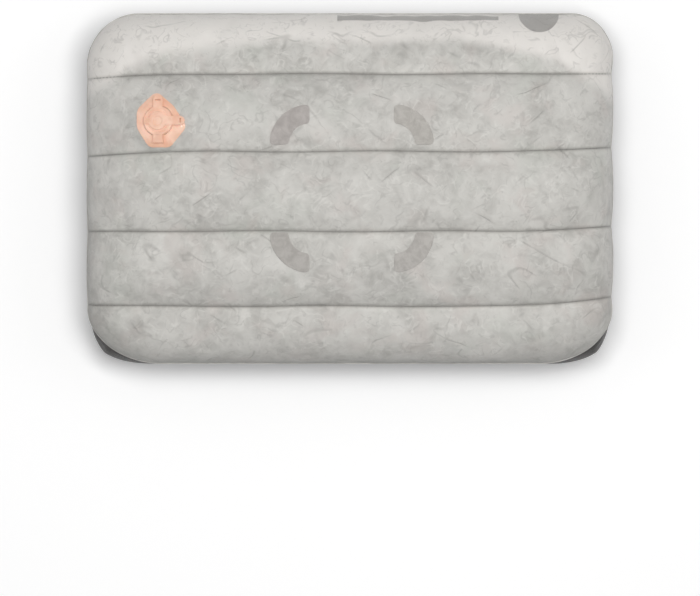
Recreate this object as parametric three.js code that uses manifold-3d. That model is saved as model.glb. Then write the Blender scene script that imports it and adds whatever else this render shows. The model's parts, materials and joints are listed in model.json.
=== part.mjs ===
// An inflatable camp pillow with a down-filled quilted top, in millimetres.
// +X runs along the long side, +Y towards the rear edge, +Z up. The origin is under the middle of the
// pillow, on the surface that it lies on.
import * as THREE from "three";
import { mergeVertices } from "three/addons/utils/BufferGeometryUtils.js";
import Module from "manifold-3d";

const wasm = await Module();
wasm.setup();

// ---------------------------------------------------------------- driving dimensions

const WIDTH = 420; // over the welded rim, along X
const DEPTH = 280; // over the welded rim, along Y
const HEIGHT = 125; // floor to the highest channel, fully inflated
const RIM_LEVEL = 58; // height of the weld that joins the two covers
const RIM_BEAD = 1.2; // how far the weld stands out past the covers
const RIM_TUCK = 12; // how far the weld's allowance reaches in between the covers
const RIM_THICKNESS = 1.4;
const GAP = 0.3; // between pieces that lie against each other

const SEAMS = [-93.5, -34.2, 29, 90.5]; // Y of the four baffles, front to rear: five channels

// How far each corner's curve reaches along X and along Y, left and right. The front ones are long and
// flat, and the lower cover is cut fuller there, so that its dark cloth shows.
const REAR_CORNERS = [[42, 42], [33, 36]];
const FRONT_CORNERS = [[60, 46], [58, 46]];
const FULLER_CORNERS = [[44, 31], [44, 31]];

const COVER_THICKNESS = 1.2;
const FILM_THICKNESS = 1;
const FILL_THICKNESS = 8; // down, at the middle of a channel
const BAFFLE_THICKNESS = 1;

const PATCH_THICKNESS = 0.8;
const PATCH_OUTER_RADIUS = 31.5;
const PATCH_INNER_RADIUS = 16.5;
const PATCH_LEFT_X = -32.2; // the four quarter rings turn about these points
const PATCH_RIGHT_X = 35;
const PATCH_REAR_Y = 34.5;
const PATCH_FRONT_Y = -35.4;

const VALVE_X = -152;
const VALVE_Y = 53;
const BORE_RADIUS = 9.5; // clear bore of the valve body
const BODY_RADIUS = 12;
const BODY_DEPTH = 14; // below the cover's outer surface
const BODY_RISE = 2;

const halfWidth = WIDTH / 2 - RIM_BEAD;
const halfDepth = DEPTH / 2 - RIM_BEAD;
const aboveRim = RIM_LEVEL + RIM_THICKNESS / 2 + GAP; // nothing of the upper side reaches below this
const belowRim = RIM_LEVEL - RIM_THICKNESS / 2 - GAP; // and nothing of the lower side above this

// ---------------------------------------------------------------- the inflated surface

// Turns the corner of a rectangle into a quarter ellipse: x and y come in on the rectangle.
function roundCorner(x, y, [reachX, reachY]) {
  const edgeX = halfWidth - reachX;
  const edgeY = halfDepth - reachY;
  const p = Math.max(0, (Math.abs(x) - edgeX) / reachX);
  const q = Math.max(0, (Math.abs(y) - edgeY) / reachY);
  if (p === 0 || q === 0) return [x, y];
  const roundX = edgeX + reachX * p * Math.sqrt(1 - (q * q) / 2);
  const roundY = edgeY + reachY * q * Math.sqrt(1 - (p * p) / 2);
  return [Math.sign(x) * roundX, Math.sign(y) * roundY];
}

const walls = [-halfDepth, ...SEAMS, halfDepth];
const CHANNELS = walls.length - 1;

// The crown of a channel for a place t from -1 to 1 along Y: 0 at the seams, 1 half way between them.
function crown(t) {
  const y = t * halfDepth;
  const next = walls.findIndex((wall, i) => i > 0 && wall >= y - 1e-6);
  const share = (y - walls[next - 1]) / (walls[next] - walls[next - 1]);
  return Math.max(0, 4 * share * (1 - share)) ** 0.75;
}

const BULGE = 9.5; // rise of a channel's crown above its seams
const END_POWER = 6; // how late the ends of the channels turn down
const endTurn = (s) => Math.sqrt(1 - Math.abs(s) ** END_POWER);

const TOP_RISE = HEIGHT - aboveRim - BULGE;
const topSeamRise = (t) => TOP_RISE * (1 - Math.abs(t) ** 2.1) ** 0.58;

const SEAM_CLEARANCE = 3; // the lower seams stay this far off the floor
const lowerSeamDrop = (t) => (belowRim - SEAM_CLEARANCE) * Math.sqrt(1 - Math.abs(t) ** 3.5);

// Point of the top cover's outer face, for s along X and t along Y, both from -1 to 1.
function topPoint(s, t) {
  const corners = t > 0 ? REAR_CORNERS : FRONT_CORNERS;
  const [x, y] = roundCorner(s * halfWidth, t * halfDepth, corners[s < 0 ? 0 : 1]);
  const rise = (topSeamRise(t) + BULGE * crown(t)) * endTurn(s);
  return new THREE.Vector3(x, y, aboveRim + rise);
}

// Point of the lower cover's outer face. It is flat where the middle channels rest on the floor, and its
// front corners swell out past the top cover's.
const SWELL_REACH = 0.07; // share of the half width over which a front corner swells
function lowerPoint(s, t) {
  const fromRim = Math.min(1, (1 - Math.max(Math.abs(s), Math.abs(t))) / SWELL_REACH);
  const end = s < 0 ? 0 : 1;
  const fuller = FRONT_CORNERS[end].map((reach, axis) =>
    THREE.MathUtils.lerp(reach, FULLER_CORNERS[end][axis], fromRim));
  const [x, y] = roundCorner(s * halfWidth, t * halfDepth, t > 0 ? REAR_CORNERS[end] : fuller);
  const drop = (lowerSeamDrop(t) + BULGE * crown(t)) * endTurn(s);
  return new THREE.Vector3(x, y, Math.max(0, belowRim - drop));
}

// The same surface moved inwards by a distance, square to itself (outwards if it is negative).
function inset(surface, s, t, distance) {
  const step = 0.004;
  const limit = 0.9995;
  const s0 = Math.max(-limit, s - step);
  const s1 = Math.min(limit, s + step);
  const t0 = Math.max(-limit, t - step);
  const t1 = Math.min(limit, t + step);
  const inwards = surface(s1, t).sub(surface(s0, t)).cross(surface(s, t1).sub(surface(s, t0))).normalize();
  if (surface === topPoint) inwards.negate();
  const point = surface(s, t).addScaledVector(inwards, distance);
  if (surface === topPoint) point.z = Math.max(point.z, aboveRim);
  else point.z = THREE.MathUtils.clamp(point.z, distance, belowRim);
  return point;
}

// ---------------------------------------------------------------- facets

// Both sides are bent from one grid of flat facets, so that layers lie snugly on each other. Grid lines
// are counted from the left and from the front, and a number may fall between two lines.
const COLUMNS = 18;
const STEPS_PER_CHANNEL = 3;
const ROWS = STEPS_PER_CHANNEL * CHANNELS;

// Columns are closer together near the ends, where the surface turns down.
const columnPlace = (column) => Math.sin((column / COLUMNS - 0.5) * Math.PI);
const columnAt = (x) => (Math.asin(x / halfWidth) / Math.PI + 0.5) * COLUMNS;

// Every seam is a row, and the outer channels have their rows closer together near the rim.
const RIM_EASE = 1.6;
function rowPlace(row) {
  const channel = Math.min(CHANNELS - 1, Math.floor(row / STEPS_PER_CHANNEL));
  const share = row / STEPS_PER_CHANNEL - channel;
  let eased = share;
  if (channel === 0) eased = share ** RIM_EASE;
  if (channel === CHANNELS - 1) eased = 1 - (1 - share) ** RIM_EASE;
  return THREE.MathUtils.lerp(walls[channel], walls[channel + 1], eased) / halfDepth;
}

// Point of the faceted surface at a depth.
function facetPoint(surface, column, row, depth) {
  const left = Math.min(COLUMNS - 1, Math.floor(column));
  const front = Math.min(ROWS - 1, Math.floor(row));
  const corner = (c, r) => inset(surface, columnPlace(c), rowPlace(r), depth);
  const nearer = corner(left, front).lerp(corner(left + 1, front), column - left);
  if (row === front) return nearer;
  const further = corner(left, front + 1).lerp(corner(left + 1, front + 1), column - left);
  return nearer.lerp(further, row - front);
}

// All grid lines from one number to another, both ends included.
function linesBetween(low, high) {
  const lines = [low];
  for (let line = Math.floor(low) + 1; line < high; line++) lines.push(line);
  lines.push(high);
  return lines;
}

// A sheet with thickness: a box whose grid is bent onto the space between two depths of a surface.
function layer(surface, [left, right], [front, rear], outerDepth, innerDepth) {
  const columns = linesBetween(left, right);
  const rows = linesBetween(front, rear);
  const lastColumn = columns.length - 1;
  const lastRow = rows.length - 1;
  const box = new THREE.BoxGeometry(lastColumn, lastRow, 2, lastColumn, lastRow, 1);
  const outwards = surface === topPoint ? 1 : -1;
  const position = box.getAttribute("position");
  for (let i = 0; i < position.count; i++) {
    const column = columns[Math.round(position.getX(i) + lastColumn / 2)];
    const row = rows[Math.round(position.getY(i) + lastRow / 2)];
    const depth = position.getZ(i) === outwards ? outerDepth : innerDepth;
    const depthHere = typeof depth === "function" ? depth(row) : depth;
    const point = facetPoint(surface, column, row, depthHere);
    position.setXYZ(i, point.x, point.y, point.z);
  }
  turnDiagonals(box);
  return box;
}

// A box splits the squares of two opposite faces along crossing diagonals. This turns those of its last
// face, so that the inner and the outer side of every layer fold the same way.
function turnDiagonals(box) {
  const { start, count } = box.groups[5];
  for (let i = start; i < start + count; i += 6) {
    const [a, b, d, , c] = box.index.array.slice(i, i + 5);
    box.index.array.set([a, b, c, a, c, d], i);
  }
}

const ALL_COLUMNS = [0, COLUMNS];
const ALL_ROWS = [0, ROWS];

// ---------------------------------------------------------------- geometry helpers

function toSolid(geometry) {
  const plain = geometry.index ? geometry.toNonIndexed() : geometry.clone();
  plain.deleteAttribute("normal");
  plain.deleteAttribute("uv");
  const merged = mergeVertices(plain, 1e-4);
  const vertProperties = new Float32Array(merged.getAttribute("position").array);
  const triVerts = new Uint32Array(merged.index.array);
  return new wasm.Manifold(new wasm.Mesh({ numProp: 3, vertProperties, triVerts }));
}

function toGeometry(solid) {
  const mesh = solid.getMesh();
  const geometry = new THREE.BufferGeometry();
  geometry.setAttribute("position", new THREE.BufferAttribute(new Float32Array(mesh.vertProperties), 3));
  geometry.setIndex(new THREE.BufferAttribute(new Uint32Array(mesh.triVerts), 1));
  geometry.computeVertexNormals();
  return geometry;
}

const ROUND_SIDES = 24;

// A solid of revolution about Z from [radius, z] corners that close on themselves or on the axis.
function turned(corners, sides = ROUND_SIDES) {
  const points = corners.map(([radius, z]) => new THREE.Vector2(radius, z));
  return new THREE.LatheGeometry(points, sides).rotateX(Math.PI / 2);
}

// A shape drawn in X and Y, from one height up to another.
function upright(shape, low, high, curveSegments = 8) {
  const options = { depth: high - low, bevelEnabled: false, curveSegments };
  return new THREE.ExtrudeGeometry(shape, options).translate(0, 0, low);
}

const CLOTH = { roughness: 0.85, metalness: 0 };
const PALE = { color: 0xc3c0bb, ...CLOTH };
const CHARCOAL = { color: 0x3c3d3c, ...CLOTH };
const FILM = { color: 0xb9c0c0, roughness: 0.4, metalness: 0 };
const DOWN = { color: 0xf1eee8, ...CLOTH };
const PATCH = { color: 0xa39e99, ...CLOTH };
const ORANGE = { color: 0xe9bea6, roughness: 0.5, metalness: 0 };
const SILICONE = { color: 0xd8d8d2, roughness: 0.35, metalness: 0 };

const pillow = new THREE.Group();

function piece(parent, name, geometry, finish) {
  const mesh = new THREE.Mesh(geometry, new THREE.MeshStandardMaterial(finish));
  mesh.name = name;
  parent.add(mesh);
  return mesh;
}

// ---------------------------------------------------------------- the valve's place on the cover

const channelOf = (y) => walls.findIndex((wall) => wall > y) - 1;
function rowAt(y) {
  const channel = channelOf(y);
  return (channel + (y - walls[channel]) / (walls[channel + 1] - walls[channel])) * STEPS_PER_CHANNEL;
}

const valvePlace = facetPoint(topPoint, columnAt(VALVE_X), rowAt(VALVE_Y), 0);
const valveInside = inset(topPoint, VALVE_X / halfWidth, VALVE_Y / halfDepth, 1);
const valveNormal = topPoint(VALVE_X / halfWidth, VALVE_Y / halfDepth).sub(valveInside).normalize();
const valve = new THREE.Group();
valve.position.copy(valvePlace);
valve.quaternion.setFromUnitVectors(new THREE.Vector3(0, 0, 1), valveNormal);
valve.updateMatrix();

// A cutter drawn in the valve's own frame, moved to where the valve is.
const atValve = (geometry) => toSolid(geometry.applyMatrix4(valve.matrix));
const circle = (radius) => new THREE.Shape().absarc(0, 0, radius, 0, 2 * Math.PI);
const boreCut = atValve(upright(circle(BODY_RADIUS + GAP), -40, 20, ROUND_SIDES));

// ---------------------------------------------------------------- covers and welded rim

const topCover = toSolid(layer(topPoint, ALL_COLUMNS, ALL_ROWS, 0, COVER_THICKNESS));
piece(pillow, "top_cover", toGeometry(topCover.subtract(boreCut)), PALE);
piece(pillow, "lower_cover", layer(lowerPoint, ALL_COLUMNS, ALL_ROWS, 0, COVER_THICKNESS), CHARCOAL);

// The covers' outline in plan, grown by a distance.
function outline(path, grow) {
  const [rearLeft, rearRight] = REAR_CORNERS;
  const [frontLeft, frontRight] = FRONT_CORNERS;
  const corners = [[1, -1, frontRight], [1, 1, rearRight], [-1, 1, rearLeft], [-1, -1, frontLeft]];
  corners.forEach(([sideX, sideY, [reachX, reachY]], quarter) => {
    const start = ((quarter - 1) * Math.PI) / 2;
    const centreX = sideX * (halfWidth - reachX);
    const centreY = sideY * (halfDepth - reachY);
    path.absellipse(centreX, centreY, reachX + grow, reachY + grow, start, start + Math.PI / 2);
  });
  path.closePath();
  return path;
}

const rim = outline(new THREE.Shape(), RIM_BEAD);
rim.holes.push(outline(new THREE.Path(), -RIM_TUCK));
const rimLow = RIM_LEVEL - RIM_THICKNESS / 2;
piece(pillow, "rim_weld", upright(rim, rimLow, rimLow + RIM_THICKNESS), PALE);

// ---------------------------------------------------------------- down fill, one pad in each channel

const fillTop = COVER_THICKNESS + GAP + 0.1;
const filmTop = fillTop + FILL_THICKNESS + GAP + 0.2;
const FILL_EDGE = 2; // thickness of a pad along its edges
const EDGE_DROP = 1.5; // the edges lie this much deeper than the rest of the pad
const FILL_CLEAR = 0.15; // of a facet's length, kept free on each side of a seam
const FILL_COLUMNS = [2, COLUMNS - 2];

for (let channel = 0; channel < CHANNELS; channel++) {
  const low = channel * STEPS_PER_CHANNEL + (channel === 0 ? 1 : FILL_CLEAR);
  const high = (channel + 1) * STEPS_PER_CHANNEL - (channel === CHANNELS - 1 ? 1 : FILL_CLEAR);
  const isEdge = (row) => row === low || row === high;
  const upper = (row) => fillTop + (isEdge(row) ? EDGE_DROP : 0);
  const under = (row) => fillTop + (isEdge(row) ? EDGE_DROP + FILL_EDGE : FILL_THICKNESS);
  const pad = toSolid(layer(topPoint, FILL_COLUMNS, [low, high], upper, under));
  piece(pillow, `down_fill_${channel + 1}`, toGeometry(pad.subtract(boreCut)), DOWN);
}

// ---------------------------------------------------------------- air bladder: two films, four baffles

const upperFilm = toSolid(layer(topPoint, ALL_COLUMNS, ALL_ROWS, filmTop, filmTop + FILM_THICKNESS));
piece(pillow, "bladder_upper_film", toGeometry(upperFilm.subtract(boreCut)), FILM);

const LOWER_FILM_GAP = 1; // wider than elsewhere, because the lower cover is cut fuller than the film
const lowerFilmDepth = COVER_THICKNESS + LOWER_FILM_GAP;
const lowerFilm = layer(
  lowerPoint, ALL_COLUMNS, ALL_ROWS, lowerFilmDepth, lowerFilmDepth + FILM_THICKNESS,
);
piece(pillow, "bladder_lower_film", lowerFilm, FILM);

// A baffle is an upright strip on a seam, from just above the lower film to just below the upper one.
// Air passes round its two ends.
const BAFFLE_CLEAR = 4;
const baffleColumns = linesBetween(3, COLUMNS - 3);
SEAMS.forEach((seam, i) => {
  const row = (i + 1) * STEPS_PER_CHANNEL;
  const last = baffleColumns.length - 1;
  const strip = new THREE.BoxGeometry(last, BAFFLE_THICKNESS, 2, last, 1, 1);
  const position = strip.getAttribute("position");
  for (let k = 0; k < position.count; k++) {
    const column = baffleColumns[Math.round(position.getX(k) + last / 2)];
    const head = facetPoint(topPoint, column, row, filmTop + FILM_THICKNESS);
    const foot = facetPoint(lowerPoint, column, row, lowerFilmDepth + FILM_THICKNESS);
    const z = position.getZ(k) > 0 ? head.z - BAFFLE_CLEAR : foot.z + BAFFLE_CLEAR;
    position.setXYZ(k, columnPlace(column) * halfWidth, seam + position.getY(k), z);
  }
  piece(pillow, `baffle_${i + 1}`, strip, FILM);
});

// ---------------------------------------------------------------- patches that hold the pillow to a mat

// A thin sheet that lies on the top cover within one channel, cut to the outline of an upright prism.
function clothPatch(cutter, fromX, toX, y) {
  const columns = [Math.floor(columnAt(fromX)), Math.ceil(columnAt(toX))];
  const rows = [channelOf(y) * STEPS_PER_CHANNEL, (channelOf(y) + 1) * STEPS_PER_CHANNEL];
  return toSolid(layer(topPoint, columns, rows, -GAP - PATCH_THICKNESS, -GAP)).intersect(cutter);
}

// An upright quarter ring, tall enough to cut any patch: it fills the quadrant that a turn brings it to.
function quarterRing(turn) {
  const shape = new THREE.Shape();
  shape.absarc(0, 0, PATCH_OUTER_RADIUS, 0, Math.PI / 2, false);
  shape.absarc(0, 0, PATCH_INNER_RADIUS, Math.PI / 2, 0, true);
  return upright(shape, RIM_LEVEL, 2 * HEIGHT, 6).rotateZ(turn);
}

const PATCHES = [
  ["rear_right", PATCH_RIGHT_X, PATCH_REAR_Y],
  ["rear_left", PATCH_LEFT_X, PATCH_REAR_Y],
  ["front_left", PATCH_LEFT_X, PATCH_FRONT_Y],
  ["front_right", PATCH_RIGHT_X, PATCH_FRONT_Y],
];
PATCHES.forEach(([corner, x, y], i) => {
  const cutter = toSolid(quarterRing((i * Math.PI) / 2).translate(x, y, 0));
  const farX = x + Math.sign(x) * PATCH_OUTER_RADIUS;
  const patch = clothPatch(cutter, Math.min(x, farX), Math.max(x, farX), y);
  piece(pillow, `lock_patch_${corner}`, toGeometry(patch), PATCH);
});

// ---------------------------------------------------------------- valve: flange and body

// The flange is a lozenge with a lobe under each finger tab and a flat front edge.
const flangeOutline = new THREE.Shape();
flangeOutline.moveTo(0, 23);
flangeOutline.quadraticCurveTo(5, 22, 9, 14.5);
flangeOutline.quadraticCurveTo(14, 8, 20, 5);
flangeOutline.quadraticCurveTo(24, 0, 20, -4);
flangeOutline.quadraticCurveTo(14, -9, 9, -19);
flangeOutline.quadraticCurveTo(8, -21, 5, -21);
flangeOutline.lineTo(-7, -21);
flangeOutline.quadraticCurveTo(-10, -20, -12, -16);
flangeOutline.quadraticCurveTo(-14, -11, -18, -7);
flangeOutline.lineTo(-18, 6);
flangeOutline.quadraticCurveTo(-14, 11, -9, 15);
flangeOutline.quadraticCurveTo(-4, 21, 0, 23);

const flangeCut = atValve(upright(flangeOutline, -12, 12, 3));
const flangeSheet = clothPatch(flangeCut, VALVE_X - 24, VALVE_X + 24, VALVE_Y);
piece(pillow, "valve_flange", toGeometry(flangeSheet.subtract(boreCut)), ORANGE);

// A block drawn by its centre across X and by its limits along Y and Z.
function block(width, [nearY, farY], [low, high]) {
  const box = new THREE.BoxGeometry(width, farY - nearY, high - low);
  return toSolid(box.translate(0, (nearY + farY) / 2, (low + high) / 2));
}

// The flap's thin strap bends where it meets an anchor on the body's front side. Strap and anchor end
// just short of the hinge line on their own sides of it.
const HINGE_LINE = 14.5; // from the bore's axis to the flap's hinge line
const HINGE_CLEAR = GAP / 2;
const FLAP_UNDER = BODY_RISE + GAP;
const FLAP_TOP = FLAP_UNDER + 1.2;
const ANCHOR_LENGTH = 3;
const ANCHOR_LOW = 0.9;
const ANCHOR_WIDTH = 9;
const anchorEnd = -HINGE_LINE - HINGE_CLEAR;
const bodyRing = toSolid(turned([
  [BORE_RADIUS, -BODY_DEPTH], [BODY_RADIUS, -BODY_DEPTH], [BODY_RADIUS, BODY_RISE],
  [BORE_RADIUS, BODY_RISE], [BORE_RADIUS, -BODY_DEPTH],
]));
const anchor = block(ANCHOR_WIDTH, [anchorEnd - ANCHOR_LENGTH, anchorEnd], [ANCHOR_LOW, FLAP_TOP - 0.1]);
const footSpan = [anchorEnd - ANCHOR_LENGTH, -BORE_RADIUS - 1];
const anchorFoot = block(ANCHOR_WIDTH, footSpan, [ANCHOR_LOW, BODY_RISE]);
const bore = toSolid(upright(circle(BORE_RADIUS), -2 * BODY_DEPTH, BODY_DEPTH, ROUND_SIDES));
const valveBody = bodyRing.add(anchor).add(anchorFoot).subtract(bore);
piece(valve, "valve_body", toGeometry(valveBody), ORANGE);

// ---------------------------------------------------------------- valve: deflation flap and its seal

const SPIDER_LOW = -2.5;
const SPIDER_HIGH = -1.3;
const SPIDER_ARMS = 3;
const HUB_RADIUS = 2.6;
const STEM_HOLE = 1.5;
const FLAP_BORE = 5.5;
const FLAP_RIM = 11.5;
const SEAL_INNER = 7.9; // floor of the groove that holds the seal
const TAB_WIDTH = 8;

const flapPlug = toSolid(turned([
  [FLAP_BORE, SPIDER_LOW], [8.4, SPIDER_LOW], [8.6, -1.4], [SEAL_INNER, -1.4], [SEAL_INNER, 0.2],
  [8.9, 0.2], [9.1, FLAP_UNDER], [FLAP_RIM, FLAP_UNDER], [FLAP_RIM, FLAP_TOP], [FLAP_BORE, FLAP_TOP],
  [FLAP_BORE, SPIDER_LOW],
]));

// A finger tab with a short slot in it, pointing along +Y from the rim of a disc.
function fingerTab(from, length, width, low, high) {
  const endCentre = from + length - width / 2;
  const shape = new THREE.Shape();
  shape.moveTo(-width / 2, from);
  shape.lineTo(width / 2, from);
  shape.absarc(0, endCentre, width / 2, 0, Math.PI, false);
  shape.closePath();
  const slot = new THREE.Path();
  slot.absarc(width / 5, endCentre, 0.6, -Math.PI / 2, Math.PI / 2, false);
  slot.absarc(-width / 5, endCentre, 0.6, Math.PI / 2, (3 * Math.PI) / 2, false);
  slot.closePath();
  shape.holes.push(slot);
  return toSolid(upright(shape, low, high, 6));
}

const OVERLAP = 1.5; // how far tabs and straps reach into the disc that they grow from
const thinUnder = FLAP_UNDER + 0.1;
const flapStrap = block(7.5, [-HINGE_LINE + HINGE_CLEAR, -FLAP_RIM + OVERLAP], [thinUnder, FLAP_TOP]);
const flapTab = fingerTab(FLAP_RIM - OVERLAP, 10.5, TAB_WIDTH, thinUnder, FLAP_TOP);
const hub = toSolid(turned([
  [0, SPIDER_LOW], [HUB_RADIUS, SPIDER_LOW], [HUB_RADIUS, SPIDER_HIGH], [0, SPIDER_HIGH],
]));
const stemHole = toSolid(turned([[0, -5], [STEM_HOLE, -5], [STEM_HOLE, 1], [0, 1]]));

// Three arms carry the hub in the middle of the flap's bore.
let flap = flapPlug.add(flapStrap).add(flapTab).add(hub);
for (let i = 0; i < SPIDER_ARMS; i++) {
  const arm = new THREE.BoxGeometry(FLAP_BORE + 0.6, 1.4, SPIDER_HIGH - SPIDER_LOW);
  arm.translate((FLAP_BORE + 0.6) / 2, 0, (SPIDER_HIGH + SPIDER_LOW) / 2);
  flap = flap.add(toSolid(arm.rotateZ((i * 2 * Math.PI) / SPIDER_ARMS)));
}

// The cap's own anchor stands on the flap's left side.
const CAP_UNDER = FLAP_TOP + GAP;
const CAP_TOP = CAP_UNDER + 1.2;
const CAP_HINGE = 9.7; // from the axis to the cap's hinge line
const capAnchor = new THREE.BoxGeometry(1.4, 6, 1.8).translate(
  -CAP_HINGE - HINGE_CLEAR - 0.7, 0, CAP_TOP - 0.1 - 0.9,
);
flap = flap.add(toSolid(capAnchor)).subtract(stemHole);
piece(valve, "deflation_flap", toGeometry(flap), ORANGE);

// A square-cut seal ring that sits in the groove of a plug.
const sealRing = (inner, outer, low, high) =>
  turned([[inner, low], [outer, low], [outer, high], [inner, high], [inner, low]]);
piece(valve, "flap_seal", sealRing(SEAL_INNER + GAP, 9, -1.1, -0.1), SILICONE);

// ---------------------------------------------------------------- valve: inflation cap and its seal

// The cap lies on the flap and plugs its bore. Its tab points along +X and its hinge is on the other side.
const CAP_RIM = 7.4;
const CAP_GROOVE = 4.3;
const DISH = 0.5; // depth of the hollow in the cap's top
const capDisc = toSolid(turned([
  [0, 1.1], [4.75, 1.1], [4.85, 1.7], [CAP_GROOVE, 1.7], [CAP_GROOVE, 2.7], [5, 2.7], [5.1, CAP_UNDER],
  [CAP_RIM, CAP_UNDER], [CAP_RIM, CAP_TOP - 0.3], [CAP_RIM - 0.4, CAP_TOP], [3.9, CAP_TOP],
  [3.4, CAP_TOP - DISH], [0, CAP_TOP - DISH],
]));
const capStrap = block(5, [-CAP_HINGE + HINGE_CLEAR, -CAP_RIM + OVERLAP], [CAP_UNDER + 0.1, CAP_TOP]);
const capTab = fingerTab(CAP_RIM - OVERLAP, 16, 7, CAP_UNDER + 0.1, CAP_TOP);
const cap = new THREE.Group();
cap.rotation.z = -Math.PI / 2;
valve.add(cap);
piece(cap, "inflation_cap", toGeometry(capDisc.add(capStrap).add(capTab)), ORANGE);
piece(cap, "cap_seal", sealRing(CAP_GROOVE + GAP, 5.1, 2, 2.4), SILICONE);

// ---------------------------------------------------------------- valve: check disc with its release button

// The disc closes the flap's bore from below. Its stem runs up through the hub to a button, which a
// fingertip presses to let a little air out.
const DISC_RADIUS = 7;
const STEM_RADIUS = 1.2;
const BUTTON_RADIUS = 2.4;
const BUTTON_TOP = 0.8;
const BUTTON_TRAVEL = 1.2;
const discTop = SPIDER_LOW - GAP;
const buttonLow = SPIDER_HIGH + BUTTON_TRAVEL + 0.2;
const checkDisc = turned([
  [0, discTop - 0.8], [DISC_RADIUS, discTop - 0.6], [DISC_RADIUS, discTop], [STEM_RADIUS, discTop],
  [STEM_RADIUS, buttonLow], [BUTTON_RADIUS, buttonLow], [BUTTON_RADIUS, BUTTON_TOP - 0.4],
  [BUTTON_RADIUS - 0.6, BUTTON_TOP], [0, BUTTON_TOP],
]);
piece(valve, "check_disc", checkDisc, SILICONE);

pillow.add(valve);

export default pillow;
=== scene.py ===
# %% [markdown]
# # A quilted, inflatable camp pillow
# The pillow is two panels of cloth welded together round their rim. Inside is an air bladder, whose
# baffles pull the panels in along four lines, so that five channels stand up between them. A layer of
# down lies under the top panel, and an orange valve is set into one channel.
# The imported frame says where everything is. All sizes below are in metres, but for the valve's pieces,
# which are drawn in millimetres. They come from the frame, or say how cloth, thread and plastic are cut.

# %% Load the frame
import json
import math

import bmesh
import bpy
import numpy as np
from mathutils import Matrix, Vector, noise
from mathutils.bvhtree import BVHTree


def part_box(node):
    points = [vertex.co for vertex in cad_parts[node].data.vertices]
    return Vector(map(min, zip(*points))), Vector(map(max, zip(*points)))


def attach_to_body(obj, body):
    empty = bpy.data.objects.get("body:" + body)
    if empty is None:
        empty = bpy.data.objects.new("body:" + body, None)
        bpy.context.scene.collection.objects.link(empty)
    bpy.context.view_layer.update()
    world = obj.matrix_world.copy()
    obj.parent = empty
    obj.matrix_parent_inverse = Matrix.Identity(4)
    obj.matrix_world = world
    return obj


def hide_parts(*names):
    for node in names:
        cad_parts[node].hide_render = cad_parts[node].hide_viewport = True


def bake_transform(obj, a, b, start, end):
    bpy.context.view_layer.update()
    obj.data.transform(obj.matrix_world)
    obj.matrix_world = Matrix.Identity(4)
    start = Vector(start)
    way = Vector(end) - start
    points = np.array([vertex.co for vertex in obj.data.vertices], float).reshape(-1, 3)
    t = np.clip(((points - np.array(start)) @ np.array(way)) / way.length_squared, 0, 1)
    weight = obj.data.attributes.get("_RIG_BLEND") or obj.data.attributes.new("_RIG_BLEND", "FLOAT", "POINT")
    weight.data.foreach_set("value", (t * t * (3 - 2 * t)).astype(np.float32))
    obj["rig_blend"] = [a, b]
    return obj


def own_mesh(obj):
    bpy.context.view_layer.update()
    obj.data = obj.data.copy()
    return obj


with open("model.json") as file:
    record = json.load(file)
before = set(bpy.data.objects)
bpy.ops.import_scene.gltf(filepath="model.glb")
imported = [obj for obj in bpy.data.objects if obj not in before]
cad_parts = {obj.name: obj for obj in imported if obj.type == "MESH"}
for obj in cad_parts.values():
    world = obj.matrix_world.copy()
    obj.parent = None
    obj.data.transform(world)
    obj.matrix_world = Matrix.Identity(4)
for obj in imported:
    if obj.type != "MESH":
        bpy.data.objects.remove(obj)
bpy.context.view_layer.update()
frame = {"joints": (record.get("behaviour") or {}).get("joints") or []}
MM = 0.001

# %% [markdown]
# ## Sizes from the frame
# The top cover's box gives the panels' outline and the highest channel, and the rim weld's box gives the
# level where the panels meet. Each baffle stands under one seam, so the baffles give the seams.

# %% Sizes from the frame
HALF_WIDTH, HALF_DEPTH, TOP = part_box("top_cover")[1]


def middle(node):
    low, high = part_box(node)
    return (low + high) / 2


rim_low, rim_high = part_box("rim_weld")
RIM_LEVEL = (rim_low.z + rim_high.z) / 2
TOP_RISE = TOP - RIM_LEVEL
UNDER_DROP = RIM_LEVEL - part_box("lower_cover")[0].z
SEAMS = [middle(f"baffle_{number}").y for number in (1, 2, 3, 4)]
WALLS = [-HALF_DEPTH, *SEAMS, HALF_DEPTH]
CHANNELS = len(WALLS) - 1
print("seams at", [round(y / MM, 1) for y in SEAMS], "rim at", round(RIM_LEVEL / MM, 1))

# %% [markdown]
# ## Camera and light
# The camera looks straight down from far away, so that the rim and the channels are seen at nearly one
# scale. The main light is a wide, soft panel overhead, a little to the rear: the crowns of the channels
# are bright, both their sides fall slowly into shade, and the front side falls a little further. A weak
# panel at each end keeps the ends from falling dark.

# %% Camera and light
LENS = 800.0
SENSOR = 36.0
VIEW_WIDTH = 0.5568
FRAME_SHIFT = -0.0871
LIGHT_AIM = Vector((0, 0, 0.1))
# Each panel's place, its two side lengths and its power in watts.
LIGHTS = {
    "overhead_panel": ((0.1, 0.18, 2.2), (1.0, 0.7), 30.0),
    "left_fill": ((-1.6, 0.1, 1.6), (1.2, 1.2), 2.6),
    "right_fill": ((1.6, 0.3, 1.6), (1.2, 1.2), 2.5),
}
WORLD_LIGHT = 0.27

scene = bpy.context.scene
scene.view_settings.view_transform = "Standard"
camera_data = bpy.data.cameras.new("camera")
camera_data.lens = LENS
camera_data.sensor_width = SENSOR
camera_data.clip_end = 20
camera = bpy.data.objects.new("camera", camera_data)
camera.location = (0, FRAME_SHIFT, RIM_LEVEL + VIEW_WIDTH * LENS / SENSOR)
scene.collection.objects.link(camera)
scene.camera = camera

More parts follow.
